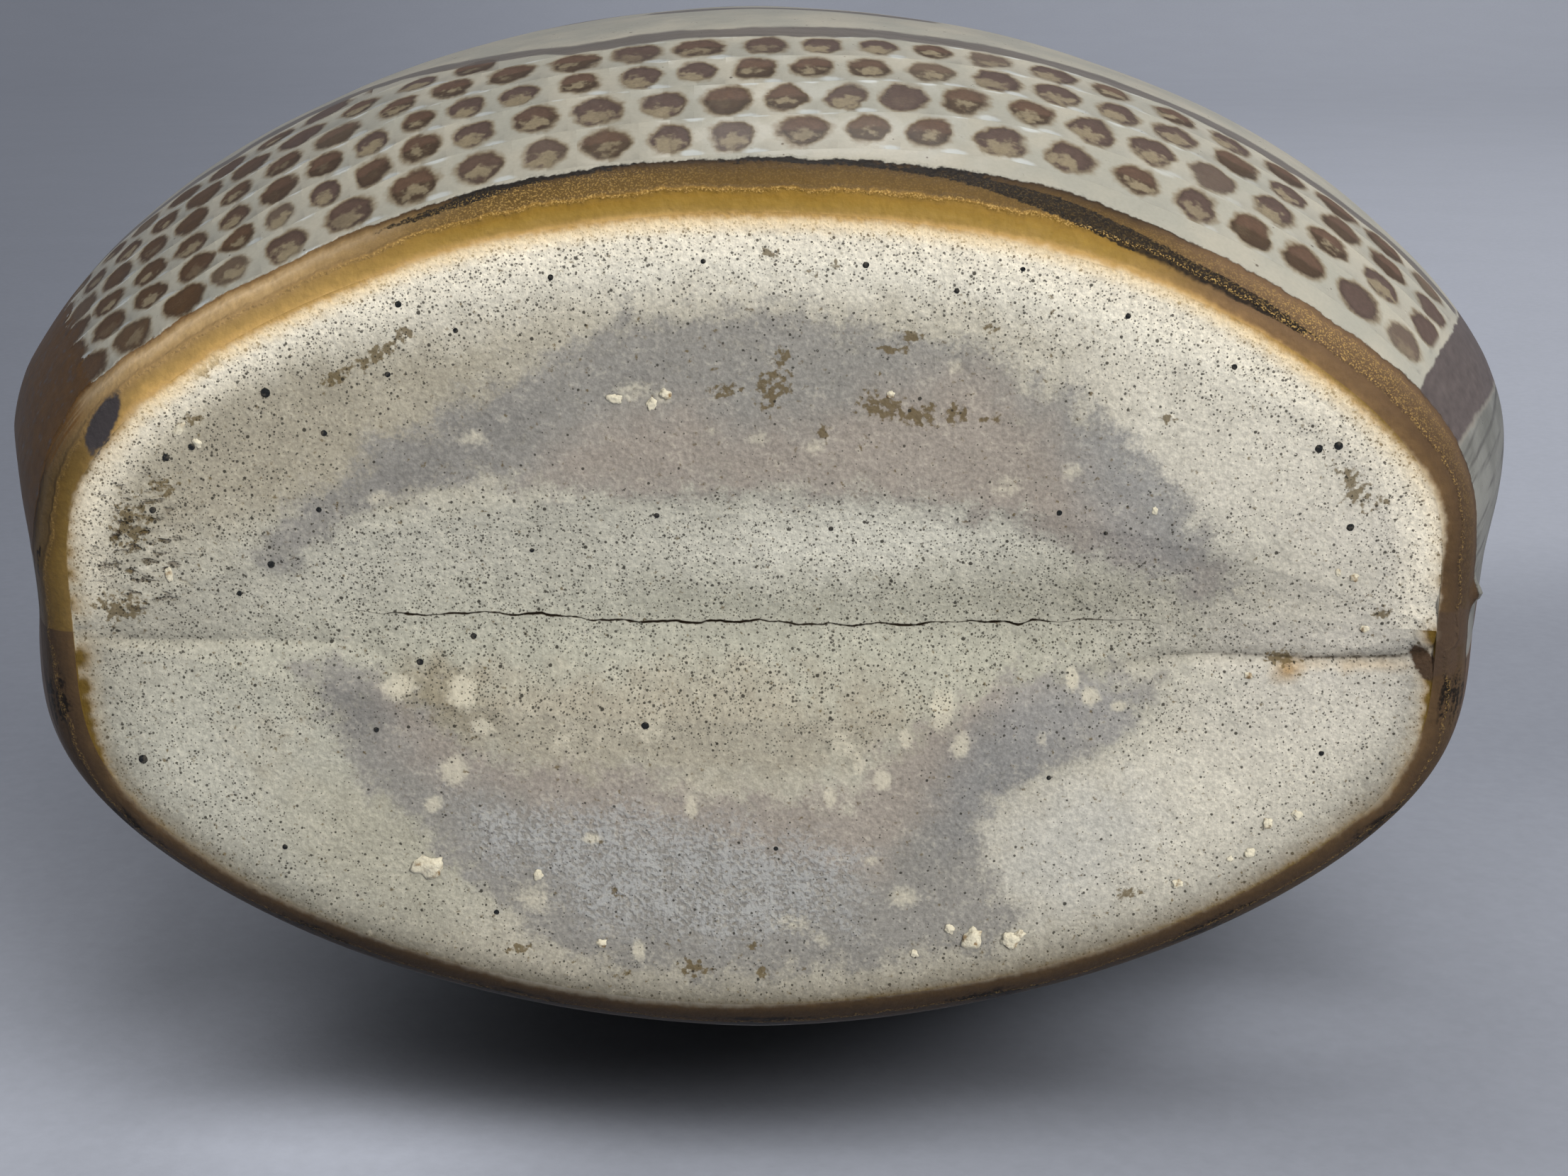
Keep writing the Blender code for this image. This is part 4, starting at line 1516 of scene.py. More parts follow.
@dataclass
class BaseSlab:
    """One half of the raw base, with its share of the crack and the pressed crease."""

    half: Half
    columns: int = 340
    rows: int = 124
    fray_layers: Sequence[Colour] = ((0.5, 8.0, 0), (0.4, 3.2, 3), (0.4, 1.5, 6))
    clay: Colour = linear(190, 184, 167)
    slate: Colour = linear(146, 143, 136)
    # Painted highlight: the near-white that brightens the clay along the front's edge.
    painted_rim_highlight: Colour = linear(250, 241, 219)
    upper_flash: Outline = (
        (-52.5, -7.5), (-46.8, -13.5), (-41, -18), (-36.5, -20.9), (-30.6, -23.9), (-24.7, -26.8),
        (-18.8, -30.4), (-11.6, -32.8), (-0.9, -33.5), (6.3, -33), (13.5, -31.6), (24.3, -29.2), (31.5, -26),
        (39, -20.1), (45, -14.4), (48.2, -8.4), (50.6, -3.6), (47, -3.1), (39.5, -6.5), (28.4, -10.9),
        (17.3, -13.5), (10, -14.5), (-1, -14.5), (-11.9, -14.5), (-22.9, -15.2), (-33.8, -15.5),
        (-41.2, -12), (-48, -6)
    )
    upper_rose: Outline = (
        (-24, -15.2), (-20, -20), (-12, -23.5), (-6, -24), (-2, -21), (6, -21.5), (14, -25.5), (24, -27.5),
        (31, -22), (36, -14), (42, -10), (47, -5.5), (40, -6.5), (28.4, -10.9), (17.3, -13.5), (-1, -14.3),
        (-12, -14.5)
    )
    lower_flash: Outline = (
        (-48.5, 4.2), (-43.5, 3.6), (-38.4, 5.4), (-34.8, 8.5), (-31.2, 12.4), (-20, 15.6), (-12.5, 16.4),
        (-4.9, 18), (2.6, 18.8), (10.2, 18), (15.4, 13.3), (19.9, 10.1), (25, 6.6), (30.2, 5), (36.2, 5.2),
        (44, 4.6), (41.5, 8.5), (37.2, 13.3), (29, 16.9), (25.5, 20), (24.4, 26.5), (28.6, 31.5), (25, 35.5),
        (2.6, 39.5), (-12.8, 38.6), (-22.4, 35.6), (-29.3, 28.8), (-38.3, 21.4), (-42.1, 14.8), (-45.1, 8.4)
    )
    lower_rose: Outline = (
        (-40, 6), (-34.8, 8.5), (-31.2, 11.4), (-20, 12.6), (-12.5, 13.4), (-4.9, 14), (2.6, 15), (10.2, 13),
        (15.4, 9.3), (19.9, 8.1), (25, 5.4), (30, 6), (27, 9.5), (22, 15), (17, 22), (12, 27.5), (2, 25),
        (-10, 22), (-22, 20), (-32, 17.5), (-38, 12)
    )
    crust_area: Outline = (
        (-33.2, 17.4), (-25.2, 20.4), (-16.3, 19.6), (-5, 21.5), (4.9, 22.7), (12.2, 24.9), (9.4, 33.3),
        (-1, 35.5), (-12.1, 35), (-19.6, 32.6), (-22, 28), (-30, 25)
    )
    seam: Outline = (
        (-72, 0), (-60, -0.7), (-50, -1.5), (-43.3, -1.8), (-38.1, -1.6), (-33.7, -1.3), (-27.7, -1.4),
        (-22.5, -1.2), (-15.9, -0.4), (-10.0, -0.3), (-4.8, -0.2), (0.4, -0.35), (3.4, 0.1), (10.1, 0.2),
        (16.8, 0.1), (20.8, -0.2), (27.9, 0.1), (29.3, -0.4), (35.3, -0.5), (41.2, -0.3), (47.1, -0.2),
        (60, 0), (72, 0)
    )
    crease_right: Outline = (
        (28.8, 7.7), (33.7, 5.3), (37.2, 4.5), (40.3, 3.85), (44.1, 3.2), (48.1, 3.05), (50.8, 3.1),
        (54.3, 3.2), (57.8, 3.4), (61.4, 3.4), (64.9, 3.35), (67.6, 3.2), (70, 2.6), (71.6, 1.4), (74, 0.5)
    )
    crease_left: Outline = ((-74, 0.2), (-71.2, 0.6), (-64.3, 1.2), (-49.4, 1.3), (-42, 1.6), (-36, 4.2))
    scuffs: Sequence[Sequence[float]] = (
        (-38.3, -29.2, 4.6, 1.2, -32), (-42.8, -26.7, 3.2, 1.0, -28),
        (-35.4, -31.2, 1.6, 1.0, 0), (2.0, -25.6, 2.4, 3.4, 25), (-2.6, -25.4, 2.6, 1.0, 0),
        (3.2, -29.0, 1.2, 1.6, 0), (13.2, -23.7, 4.0, 2.0, 10), (17.4, -22.8, 3.2, 1.6),
        (20.6, -23.1, 1.8, 1.6), (14.4, -29.6, 3.0, 0.9), (61.8, -15.2, 4.2, 1.9, 55),
        (65.0, -14.0, 1.2, 0.9), (1.7, -39.4, 1.4, 1.0), (8.4, -38.2, 1.0, 0.8),
        (6.0, -37.5, 1.0, 0.8), (-15.0, 29.4, 1.2, 1.0), (-6.7, 38.3, 2.4, 1.7),
        (-26.0, 36.0, 2.2, 0.9), (-14.8, 39.0, 1.4, 0.8), (16.2, -31.0, 1.6, 1.0),
        (24.0, -31.8, 1.2, 0.8), (-55.5, -28.0, 3.4, 1.0, -40), (-57.5, -22.5, 2.4, 0.9, -20),
        (-64.6, -11.4, 3.4, 4.0, 0), (-61.0, -15.4, 2.4, 1.6, 0), (-66.0, -2.6, 4.2, 2.6),
        (24.6, -22.4, 2.0, 0.7, 0), (65.8, -1.6, 1.6, 1.2), (7.2, -20.8, 1.0, 1.4),
        (55.8, 3.4, 2.6, 1.0), (42.4, -22.6, 1.2, 0.8, 30), (40.6, 29.6, 1.8, 0.8, -20),
        (0.6, 38.6, 1.0, 1.2), (-0.4, 35.6, 1.2, 0.8)
    )
    spots: Sequence[Sequence[float]] = (
        (-37.7, 6.2, 2.2, 2.0), (-31.0, 6.8, 1.9, 2.4), (-28.8, 10.6, 1.5, 1.2),
        (-32.1, 15.6, 2.0, 2.4, 20), (-34.5, 19.4, 1.5, 1.2, -30), (-6.8, 19.6, 1.0, 2.0),
        (13.6, 16.6, 1.4, 1.7), (19.8, 9.0, 1.5, 3.4), (21.8, 12.8, 1.2, 2.2),
        (8.0, 18.6, 0.9, 1.5), (35.5, 7.4, 1.4, 1.4, 60), (38.5, 8.4, 1.1, 0.9),
        (16.0, 12.0, 1.0, 1.6), (11.0, 15.0, 0.9, 1.6), (33.6, 5.6, 1.0, 1.8),
        (-17.6, 23.2, 1.6, 0.9), (-12.8, 36.2, 1.0, 1.6)
    )
    faint_spots: Sequence[Sequence[float]] = (
        (-20.6, 12.2, 1.7, 1.5), (-11.4, 11.0, 3.0, 2.2), (9.2, 12.4, 1.8, 2.8),
        (30.4, 12.2, 0.9, 1.3), (0.5, -20.4, 1.6, 1.2), (6.3, -19.5, 1.9, 1.2, -30),
        (-4.2, -21.2, 0.9, 0.8), (-9.4, -24.8, 1.4, 1.2), (-12.6, -25.4, 2.6, 1.8, 0),
        (20.7, -27.7, 1.4, 1.0), (12.4, 25.8, 1.0, 0.9), (7.4, 35.0, 1.6, 1.4),
        (-29.0, -20.6, 2.6, 1.4), (-38.5, -14.2, 2.2, 1.0), (26.0, -15.5, 2.6, 1.6),
        (33.0, -17.0, 1.6, 1.2), (50.6, -4.0, 1.2, 0.9), (-24.0, 30.0, 4.0, 2.4, 20),
        (16.0, 30.0, 2.4, 1.8), (4.0, 33.0, 2.6, 1.6)
    )

    def washes(self) -> Sequence[tuple]:
        """The clay's tones, in the order in which they lie over each other."""
        rose = (158, 149, 138)
        return (
            ((160, 153, 135), 0.85, 11.0, 5.0, (-52, -16, 34, 15, -38)),
            ((170, 166, 152), 0.8, 8.0, 4.0, (-58, 2, 24, 9)),
            ((186, 184, 170), 0.9, 8.0, 4.0, (-50, 18, 24, 17)),
            ((172, 168, 150), 0.8, 5.0, 3.0, (-40, 24, 12, 8, 30)),
            ((204, 199, 184), 0.95, 7.0, 4.0, (55, 17, 24, 15, -32)),
            ((188, 187, 180), 0.6, 5.0, 4.0, (33, 24, 9, 7, -32)),
            ((198, 193, 181), 0.9, 8.0, 4.0, (58, -8, 26, 18)),
            ((207, 202, 187), 0.85, 5.0, 4.0, (47, -23, 16, 8, 32)),
            ((226, 221, 205), 1.0, 4.0, 3.0, self.rim_cream),
            ((189, 186, 171), 1.0, 3.0, 2.0, (-2, -5.5, 58, 10.5)),
            ((214, 211, 196), 0.9, 4.0, 3.0, (10, -7, 18, 6)),
            ((196, 190, 178), 0.5, 4.0, 3.0, (50, -3, 14, 5)),
            ((176, 174, 158), 0.9, 4.0, 3.0, (-6, 6, 48, 11)),
            ((166, 158, 140), 0.75, 3.5, 5.0, (-12, 11, 30, 6)),
            # Painted shade: a darker band just above the crack, right of the middle.
            ((158, 154, 136), 0.6, 4.0, 2.0, (32, -3.4, 22, 3.0)),
            ((140, 131, 110), 0.8, 2.5, 2.5, (-34.5, 7.4, 5.0, 3.0, 20)),
            ((170, 134, 78), 0.8, 1.0, 1.0, (56.1, 4.4, 1.5, 1.2)),
            ((162, 128, 74), 0.5, 0.8, 1.0, (64, 3.9, 4.0, 0.6)),
            (rose, 0.9, 3.6, 3.0, self.upper_rose, True),
            (rose, 0.85, 3.2, 3.0, self.lower_rose, True),
            ((126, 124, 120), 0.45, 3.0, 2.0, (-33, -17.5, 13, 3.4, -26), True),
            ((124, 122, 118), 0.6, 2.4, 2.0, (-43.0, 8.0, 4.5, 3.6, 40), True),
            ((134, 134, 133), 0.6, 3.0, 2.0, (26, 16, 9, 5, -50), True),
            ((150, 150, 148), 0.5, 3.0, 2.0, (39, -14, 5, 10, -30), True),
            ((160, 158, 154), 0.6, 3.0, 2.0, (34, 9, 7, 4), True),
        )

    @property
    def rim_cream(self) -> Outline:
        """The bright arc of clay along the front edge."""
        outer = [(x, -47 * math.sqrt(max(1 - (x / 80) ** 2, 0))) for x in range(-62, 69, 10)]
        inner = [
            (60, -24), (48, -27), (36, -31), (20, -34.5), (0, -36), (-14, -35.5), (-28, -33), (-42, -30),
            (-56, -27)
        ]
        return outer + inner

    def __post_init__(self) -> None:
        """Space the columns along the joint."""
        share = np.linspace(0, 1, self.columns + 1)
        self.turns = 0.4 * np.pi * share + 0.6 * np.arccos(1 - 2 * share)

    def seam_line(self, x: Grid) -> Tuple[Grid, Grid]:
        """The joint across the base.

        Args:
            x: Places along it.

        Returns:
            Where the joint lies at each place, and half of the crack's width there.
        """
        flat = np.stack([x, 0 * x], -1)
        jag = cloud(flat, 2.4, 5.5) * 0.28 + cloud(flat, 0.9, 9.5) * 0.14
        open_share = smooth(-47, -36, x) * smooth(46, 34, x)
        line = follow(self.seam, x) + jag * smooth(-50, -42, x) * smooth(50, 42, x)
        width = (0.055 + 0.05 * cloud(flat, 5.0, 2.2)) * open_share
        return line, np.clip(width, 0, 1)

    def underside(self, x: Grid, y: Grid, edge: Grid) -> Grid:
        """Height of the raw clay over the standing plane.

        Args:
            x: Places along the base.
            y: Places across it.
            edge: Distance in from the foot's edge.

        Returns:
            The heights.
        """
        height = SHAPE.hollow(x, y) * 1.25
        height = height + 0.75 * np.exp(-(((y + 0.2) / 4.2) ** 2)) * smooth(-40, 10, x) * smooth(56, 34, x)
        off = y - follow(self.crease_right, x)
        fading = smooth(0.5, 6.0, edge)
        depth = np.interp(x, (26, 33, 42, 56, 68), (0, 0.3, 0.8, 1.3, 1.4)) * fading
        height = height + depth * valley(off, 2.0, 0.5)
        height = (
            height - np.interp(x, (30, 45, 66, 72), (0, 0.15, 0.3, 0)) * np.exp(-(((off + 4.0) / 1.8) ** 2))
        )
        off = y - follow(self.crease_left, x)
        depth = np.interp(x, (-72, -66, -58, -48, -38), (0.7, 0.9, 0.6, 0.3, 0)) * fading
        height = height + depth * valley(off, 1.4, 0.6)
        places = np.stack([x, y], -1)
        uneven = (
            0.28 * cloud(places, 21.0, 1.7) + 0.10 * cloud(places, 7.5, 4.4) + 0.05 * cloud(places, 2.4, 7.9)
        )
        dents = 0.40 * np.clip(Mark(-11.9, -25.2, 2.8, 1.9, 10).field(places), 0, 1)
        dents = dents + 0.35 * np.clip(Mark(20.7, -27.9, 1.3, 1.3).field(places), 0, 1)
        torn = (
            smooth(1.3, 0.2, np.hypot((x + 63) / 7.5, (y + 9) / 10)) * cloud(places * (0.5, 1.5), 1.3, 2.6)
        )
        height = height + (uneven + 0.45 + dents + 0.14 * torn) * smooth(0, 4.0, edge)
        return np.maximum(height, 0.1) * smooth(0, 0.8, edge)

    @staticmethod
    def painted_edge_shade(half: Half, degrees: Grid, edge: Grid) -> Grid:
        """How bright the clay stays towards the back's edge, which is darkened there as painted shade; the
        front keeps all of it.
        """
        if half is Half.FRONT:
            return np.ones(edge.shape)
        part = np.interp(degrees, (0, 8, 20, 30, 157, 166, 174, 180), (0.1, 0.3, 0.7, 1, 1, 0.6, 0.25, 0.1))
        left = np.interp(edge, (-0.8, 0, 0.4, 1.0, 2.0, 4.0, 7.0), (0.15, 0.24, 0.34, 0.46, 0.62, 0.86, 1.0))
        return 1 - part * (1 - left)

    def shade(self, x: Grid, y: Grid) -> Grid:
        """Painted shade in the creases and on their gentle side, from 0 to 1."""
        off = y - follow(self.crease_right, x)
        ramp = np.interp(x, (28, 36, 44, 52, 66, 71, 73), (0, 0.35, 0.5, 0.6, 0.7, 0.6, 0))
        right = ramp * valley(off, 1.0, 0.25)
        off = y - follow(self.crease_left, x)
        ramp = np.interp(x, (-72, -66, -50, -38, -34), (0.3, 0.32, 0.25, 0.2, 0))
        return np.maximum(right, ramp * valley(off, 1.3, 0.3))

    def split(self, x: Grid, y: Grid) -> Grid:
        """How near a place lies to the open crack, or to the pressed line along the right crease, from 0 to
        1; the pressed line's darkness is painted shade.
        """
        line, width = self.seam_line(x)
        opened = np.clip(width / 0.07, 0, 1.2) * np.exp(-(((y - line) / 0.17) ** 2))
        # The pressed line: painted shade under the right crease's lip.
        off = y - follow(self.crease_right, x)
        pressed = (
            np.interp(x, (30, 42, 54, 68, 72, 73), (0, 0.32, 0.48, 0.6, 0.5, 0))
            * np.exp(-((off / 0.28) ** 2))
        )
        return np.maximum(opened, pressed)

    def build(self, name: str) -> Piece:
        """Model the slab.

        Args:
            name: The piece's name.

        Returns:
            The closed slab.
        """
        rim = SHAPE.foot_line(self.half, self.turns)[:, :2]
        rim[0, 1] = rim[-1, 1] = 0
        seam_x = rim[0, 0] * np.cos(self.turns)
        line, width = self.seam_line(seam_x)
        seam_y = line + self.half.value * width
        seam_y[0] = seam_y[-1] = 0
        inner = np.stack([seam_x, seam_y], -1)
        share = 1 - (1 - np.linspace(0, 1, self.rows + 1)) ** 1.55
        flat = rim[:, None] + (inner - rim)[:, None] * share[None, :, None]
        edge = np.linalg.norm(flat - rim[:, None], axis=-1)
        edge = np.minimum(edge, self.edge_distance(flat, rim))
        height = self.underside(flat[..., 0], flat[..., 1], edge)
        height[0] = height[-1] = 0
        under = np.concatenate([flat, height[..., None]], -1)
        walls = self.side_walls(under)
        piece = Bench.sheet(name, np.concatenate([under, walls], axis=1))
        self.store(piece, flat, edge, walls.shape[1])
        Bench.close(piece, caps=False)
        return piece

    @staticmethod
    def edge_distance(flat: Grid, rim: Grid) -> Grid:
        """Distance of each place from the nearest point of the foot's edge."""
        thin = rim[::3]
        best = np.full(flat.shape[:-1], np.inf)
        for corner in thin:
            best = np.minimum(best, np.hypot(flat[..., 0] - corner[0], flat[..., 1] - corner[1]))
        return best

    def side_walls(self, under: Grid) -> Grid:
        """The rows up the joint, over the inside floor and down the outer edge."""
        seam, rim = under[:, -1], under[:, 0]
        steps = [(0.0, lift) for lift in (0.5, 2.0, 5.0)]
        steps += [(share, SHAPE.floor) for share in (0, 0.25, 0.5, 0.75, 1)]
        steps += [(1.0, lift) for lift in (5.0, 2.0, 0.5, 0.0)]
        rows: List[Grid] = []
        for share, lift in steps:
            row = seam + (rim - seam) * share
            row[:, 2] += (SHAPE.floor - row[:, 2]) * lift / SHAPE.floor
            rows.append(row)
        return np.stack(rows, 1)

    def store(self, piece: Piece, flat: Grid, edge: Grid, extra: int) -> None:
        """Store where the clay's marks lie.

        Args:
            piece: The slab.
            flat: Places of the underside's corners.
            edge: Their distance from the foot's edge.
            extra: How many rows lie on the other sides.
        """
        x, y = flat[..., 0], flat[..., 1]
        degrees = np.degrees(self.turns)[:, None]
        start = PaintLine().start(self.half, degrees)
        frays = [
            sum(share * cloud(flat, scale, first + later) for share, scale, later in self.fray_layers)
            for first in (1.0, 12.0)
        ]
        tone = np.zeros((*x.shape, 3)) + self.clay
        burn = np.zeros((*x.shape, 3)) + self.slate
        flash = np.zeros(x.shape)
        for index, row in enumerate(self.washes()):
            wash = Wash(*row)
            colour, cover = linear(*wash.tone), wash.cover(flat, frays[index % 2])[..., None]
            if wash.burnt:
                burn = burn + (colour - burn) * cover
            else:
                tone = tone + (colour - tone) * cover
        # Painted highlight: the clay brightens towards the front's edge, within about 6 mm of it.
        painted_rim_highlight = np.interp(
            degrees, (0, 8, 18, 28, 62, 78, 130, 140, 157, 168),
            (0, 0.15, 0.7, 0.95, 0.95, 1.0, 0.9, 0.8, 0.6, 0)
        )
        painted_rim_highlight = (painted_rim_highlight * smooth(6.0, 1.2, edge))[..., None] * (self.half is Half.FRONT)
        tone = tone + (np.array(self.painted_rim_highlight) - tone) * painted_rim_highlight
        for outline in (self.upper_flash, self.lower_flash):
            flash = np.maximum(flash, smooth(-3.6, 3.6, inside_outline(flat, outline) + frays[0] * 2.6))
        start = start + 0 * edge
        degrees = degrees + 0 * edge
        # Painted shade: the clay darkens in the creases and towards the back's edge.
        dim = (1 - 0.6 * self.shade(x, y)) * self.painted_edge_shade(self.half, degrees, edge)
        tone, burn = tone * dim[..., None], burn * dim[..., None]
        layers = {
            "gap": -(edge + start), "glow": OuterWall.glow(self.half, degrees), "flash": flash,
            "crust": smooth(-3.0, 3.0, inside_outline(flat, self.crust_area) + frays[0] * 3.5),
            "scuff": self.strongest(self.scuffs, flat),
            "blotch": np.maximum(
                self.strongest(self.spots, flat), 0.55 * self.strongest(self.faint_spots, flat)
            ),
            "dust": self.dust(x, y, edge, flash),
            "torn": smooth(1.2, 0.3, np.hypot((x + 64.0) / 6.0, (y + 9) / 9.5)),
            "stain": np.clip(1.5 * Mark(70.4, 3.7, 3.0, 1.4, 66).field(flat), 0, 1),
            "slate": OuterWall.oval(degrees, -edge) if self.half is Half.FRONT else edge * 0 - 1,
            "crack_and_crease_shade": self.split(x, y),
            "wash": np.dstack([tone, np.ones(x.shape)]),
            "burn": np.dstack([burn, np.ones(x.shape)]),
        }
        Bench.paint(piece, layers, extra, rim_rows=4)

    @staticmethod
    def strongest(marks: Sequence[Sequence[float]], places: Grid) -> Grid:
        """The strongest of several marks at each place, from 0 to 1."""
        best = np.zeros(places.shape[:-1])
        for mark in marks:
            best = np.maximum(best, np.clip(Mark(*mark).field(places) * 1.4, 0, 1))
        return best

    @staticmethod
    def dust(x: Grid, y: Grid, edge: Grid, flash: Grid) -> Grid:
        """How thickly iron specks lie: most near the left and upper edges and along the middle."""
        near_edge = smooth(17, 2, edge) * np.where(
            y < 0, 0.8 + 0.2 * smooth(10, -40, x), 0.3 + 0.4 * smooth(-40, -60, x)
        )
        middle = 0.85 * smooth(17, 9, np.abs(y + 1)) * smooth(-72, -55, x) * smooth(66, 40, x)
        left = 0.75 * smooth(-36, -58, x) * np.where(y < 3, 1.0, 0.35)
        right = 0.35 * smooth(44, 60, x)
        most = np.maximum(np.maximum(near_edge, middle), np.maximum(left, right))
        return np.clip(most * (1 - 0.75 * flash) + 0.06, 0, 1)


def resting_height(front: BaseSlab, x: float, y: float) -> float:
    """Height of the clay, well inside its edge, under a small thing that stuck to it."""
    return float(front.underside(np.array([x]), np.array([y]), np.array([9.0]))[0])


@dataclass(frozen=True)
class IronSpecks:
    """Larger melted iron specks, each a small low dome on the raw clay."""

    places: Sequence[Tuple[float, float, float]] = (
        (58.1, -19.3, 0.42), (60.1, -19.6, 0.46), (61.8, -11.0, 0.4), (-49.9, -25.2, 0.5),
        (-68.4, 13.4, 0.5), (-65.1, 14.2, 0.5), (-35.4, 3.8, 0.4), (-29.7, 1.1, 0.34), (-50.3, -7.2, 0.42),
        (-44.1, -21.0, 0.34), (-37.3, -27.1, 0.3), (-10.1, -12.2, 0.3), (8.0, -10.7, 0.26),
        (31.6, -12.6, 0.3), (-11.6, 10.5, 0.42), (27.2, -37.9, 0.42), (14.7, -40.9, 0.34),
        (11.4, -38.2, 0.34), (-35.9, -34.3, 0.36), (-53.9, -3.9, 0.3), (-28.1, 31.8, 0.3),
        (31.3, 16.4, 0.26), (60.2, 13.7, 0.3), (44.0, 32.7, 0.28), (-60.5, -18.5, 0.4), (-57.8, -19.6, 0.36),
        (-62.2, -13.0, 0.36), (-23.2, -8.4, 0.26), (-40.2, 11.0, 0.3), (-45.0, -13.0, 0.3),
        (-64.0, 20.0, 0.34), (-50.6, 24.2, 0.3), (36.5, -10.4, 0.24), (2.2, 24.4, 0.26), (49.0, -27.8, 0.3),
        (-20.4, -37.0, 0.3), (-30.2, -31.6, 0.28), (20.6, -35.6, 0.28), (38.0, -33.0, 0.3),
        (-5.0, -38.6, 0.26)
    )
    flatness: float = 0.35
    ripple: float = 1.4

    def build(self, front: BaseSlab) -> Piece:
        """Model one dome, copy it to each place and join the copies.

        Args:
            front: A slab that tells the clay's height.

        Returns:
            All specks as one piece.
        """
        Bench.clear_selection()
        domes: List[Piece] = []
        for index, (x, y, radius) in enumerate(self.places):
            middle = Vector((x, y, resting_height(front, x, y))) * MM
            bpy.ops.mesh.primitive_uv_sphere_add(
                segments=14, ring_count=8, radius=radius * MM, location=(0, 0, 0)
            )
            dome = bpy.context.object
            for corner in dome.data.vertices:
                place = corner.co * (self.ripple / (radius * MM)) + Vector((index * 3.7, 0, 0))
                wave = 1 + 0.16 * noise.noise(place)
                corner.co.xy = corner.co.xy * wave
                corner.co.z = corner.co.z * self.flatness
                corner.co += middle
            domes.append(dome)
        return join_pieces(domes, "iron_specks")


@dataclass(frozen=True)
class KilnCrumbs:
    """Crumbs of grog and kiln wash stuck to the base: place, size and length."""

    crumbs: Sequence[Tuple[float, float, float, float]] = (
        (-35.1, 26.5, 1.1, 1.7), (23.4, 35.0, 1.0, 1.4), (27.6, 35.0, 0.9, 1.1), (28.6, 34.4, 0.5, 1.3),
        (21.0, 33.7, 0.5, 1.2), (45.4, 28.4, 0.5, 1.2), (54.9, 21.6, 0.55, 1.2), (58.0, 20.6, 0.5, 1.2),
        (53.0, 25.0, 0.5, 1.4), (51.0, 25.6, 0.35, 1.0), (-14.2, -24.6, 0.5, 1.6), (-10.4, -24.0, 0.5, 1.4),
        (-9.0, -25.0, 0.55, 1.2), (62.5, -5.6, 0.4, 1.3), (60.8, -6.2, 0.3, 1.3), (64.0, 0.0, 0.4, 1.3),
        (-59.0, -21.4, 0.45, 1.8), (-57.2, -20.0, 0.35, 1.6), (14.0, -25.0, 0.35, 1.2),
        (-61.0, -6.0, 0.4, 1.8), (52.0, 5.0, 0.35, 1.2), (-23.5, 27.5, 0.5, 1.2), (17.2, 36.6, 0.45, 1.1),
        (-16.8, 35.4, 0.5, 1.1), (41.5, -12.8, 0.3, 1.4)
    )
    flatness: float = 0.5
    ripple: float = 1.7

    def build(self, front: BaseSlab) -> Piece:
        """Model each crumb from a small ball and join them.

        Args:
            front: A slab that tells the clay's height.

        Returns:
            All crumbs as one piece.
        """
        Bench.clear_selection()
        made: List[Piece] = []
        for index, (x, y, size, length) in enumerate(self.crumbs):
            middle = Vector((x, y, resting_height(front, x, y))) * MM
            bpy.ops.mesh.primitive_ico_sphere_add(subdivisions=3, radius=size * MM, location=(0, 0, 0))
            crumb = bpy.context.object
            turn = Matrix.Rotation(index * 1.9, 3, "Z") @ Matrix.Diagonal((length, 1, self.flatness))
            for corner in crumb.data.vertices:
                place = corner.co * (self.ripple / (size * MM)) + Vector((0, index * 4.3, 0))
                corner.co = turn @ corner.co * (1 + 0.55 * noise.noise(place)) + middle
            made.append(crumb)
        return join_pieces(made, "kiln_crumbs")


def join_pieces(parts: Sequence[Piece], name: str) -> Piece:
    """Join several small meshes into one piece.

    Args:
        parts: The meshes.
        name: The piece's name.

    Returns:
        The joined piece, at the origin.
    """
    Bench.clear_selection()
    for part in parts:
        part.select_set(True)
    bpy.context.view_layer.objects.active = parts[0]
    bpy.ops.object.join()
    piece = bpy.context.object
    piece.name = name
    piece.data.name = name
    bpy.ops.object.shade_smooth()
    return piece


@dataclass(frozen=True)
class Turned:
    """A thrown ring, drawn up from a circle ring by ring and closed on itself, in millimetres."""

    name: str
    profile: Outline
    segments: int = 160
    wobble: float = 0.12

    def build(self) -> Piece:
        """Extrude a circle along the profile, bridge it shut and give it a thrown surface.

        Returns:
            The closed ring.
        """
        Bench.clear_selection()
        radius, height = self.profile[0]
        bpy.ops.mesh.primitive_circle_add(
            vertices=self.segments, radius=radius * MM, fill_type="NOTHING", location=(0, 0, height * MM)
        )
        piece = bpy.context.object
        piece.name = self.name
        piece.data.name = self.name
        bpy.ops.object.transform_apply(location=True, rotation=False, scale=False)
        Bench.mode("EDIT")
        bpy.ops.mesh.select_mode(type="EDGE")
        bpy.ops.mesh.select_all(action="SELECT")
        for following, level in self.profile[1:]:
            bpy.ops.mesh.extrude_edges_move(TRANSFORM_OT_translate={"value": (0, 0, (level - height) * MM)})
            ratio = following / radius
            bpy.ops.transform.resize(value=(ratio, ratio, 1), center_override=(0, 0, level * MM))
            radius, height = following, level
        bpy.ops.mesh.select_all(action="DESELECT")
        bpy.ops.mesh.select_non_manifold(extend=False)
        bpy.ops.mesh.bridge_edge_loops()
        bpy.ops.mesh.select_all(action="SELECT")
        bpy.ops.mesh.normals_make_consistent(inside=False)
        Bench.mode("OBJECT")
        for corner in piece.data.vertices:
            push = noise.noise(Vector((corner.co.x * 30, corner.co.y * 30, corner.co.z * 420)))
            level = Vector((corner.co.x, corner.co.y, 0))
            if level.length > 0:
                corner.co += level.normalized() * push * self.wobble * MM
        bpy.ops.object.shade_smooth_by_angle(angle=math.radians(50))
        return piece


SEAT_GAP = 0.05
COLLAR_TOP = 20.55
WAIST = 2.6
LIP_HEIGHT = 6.4
LIP_BULGE = 2.2


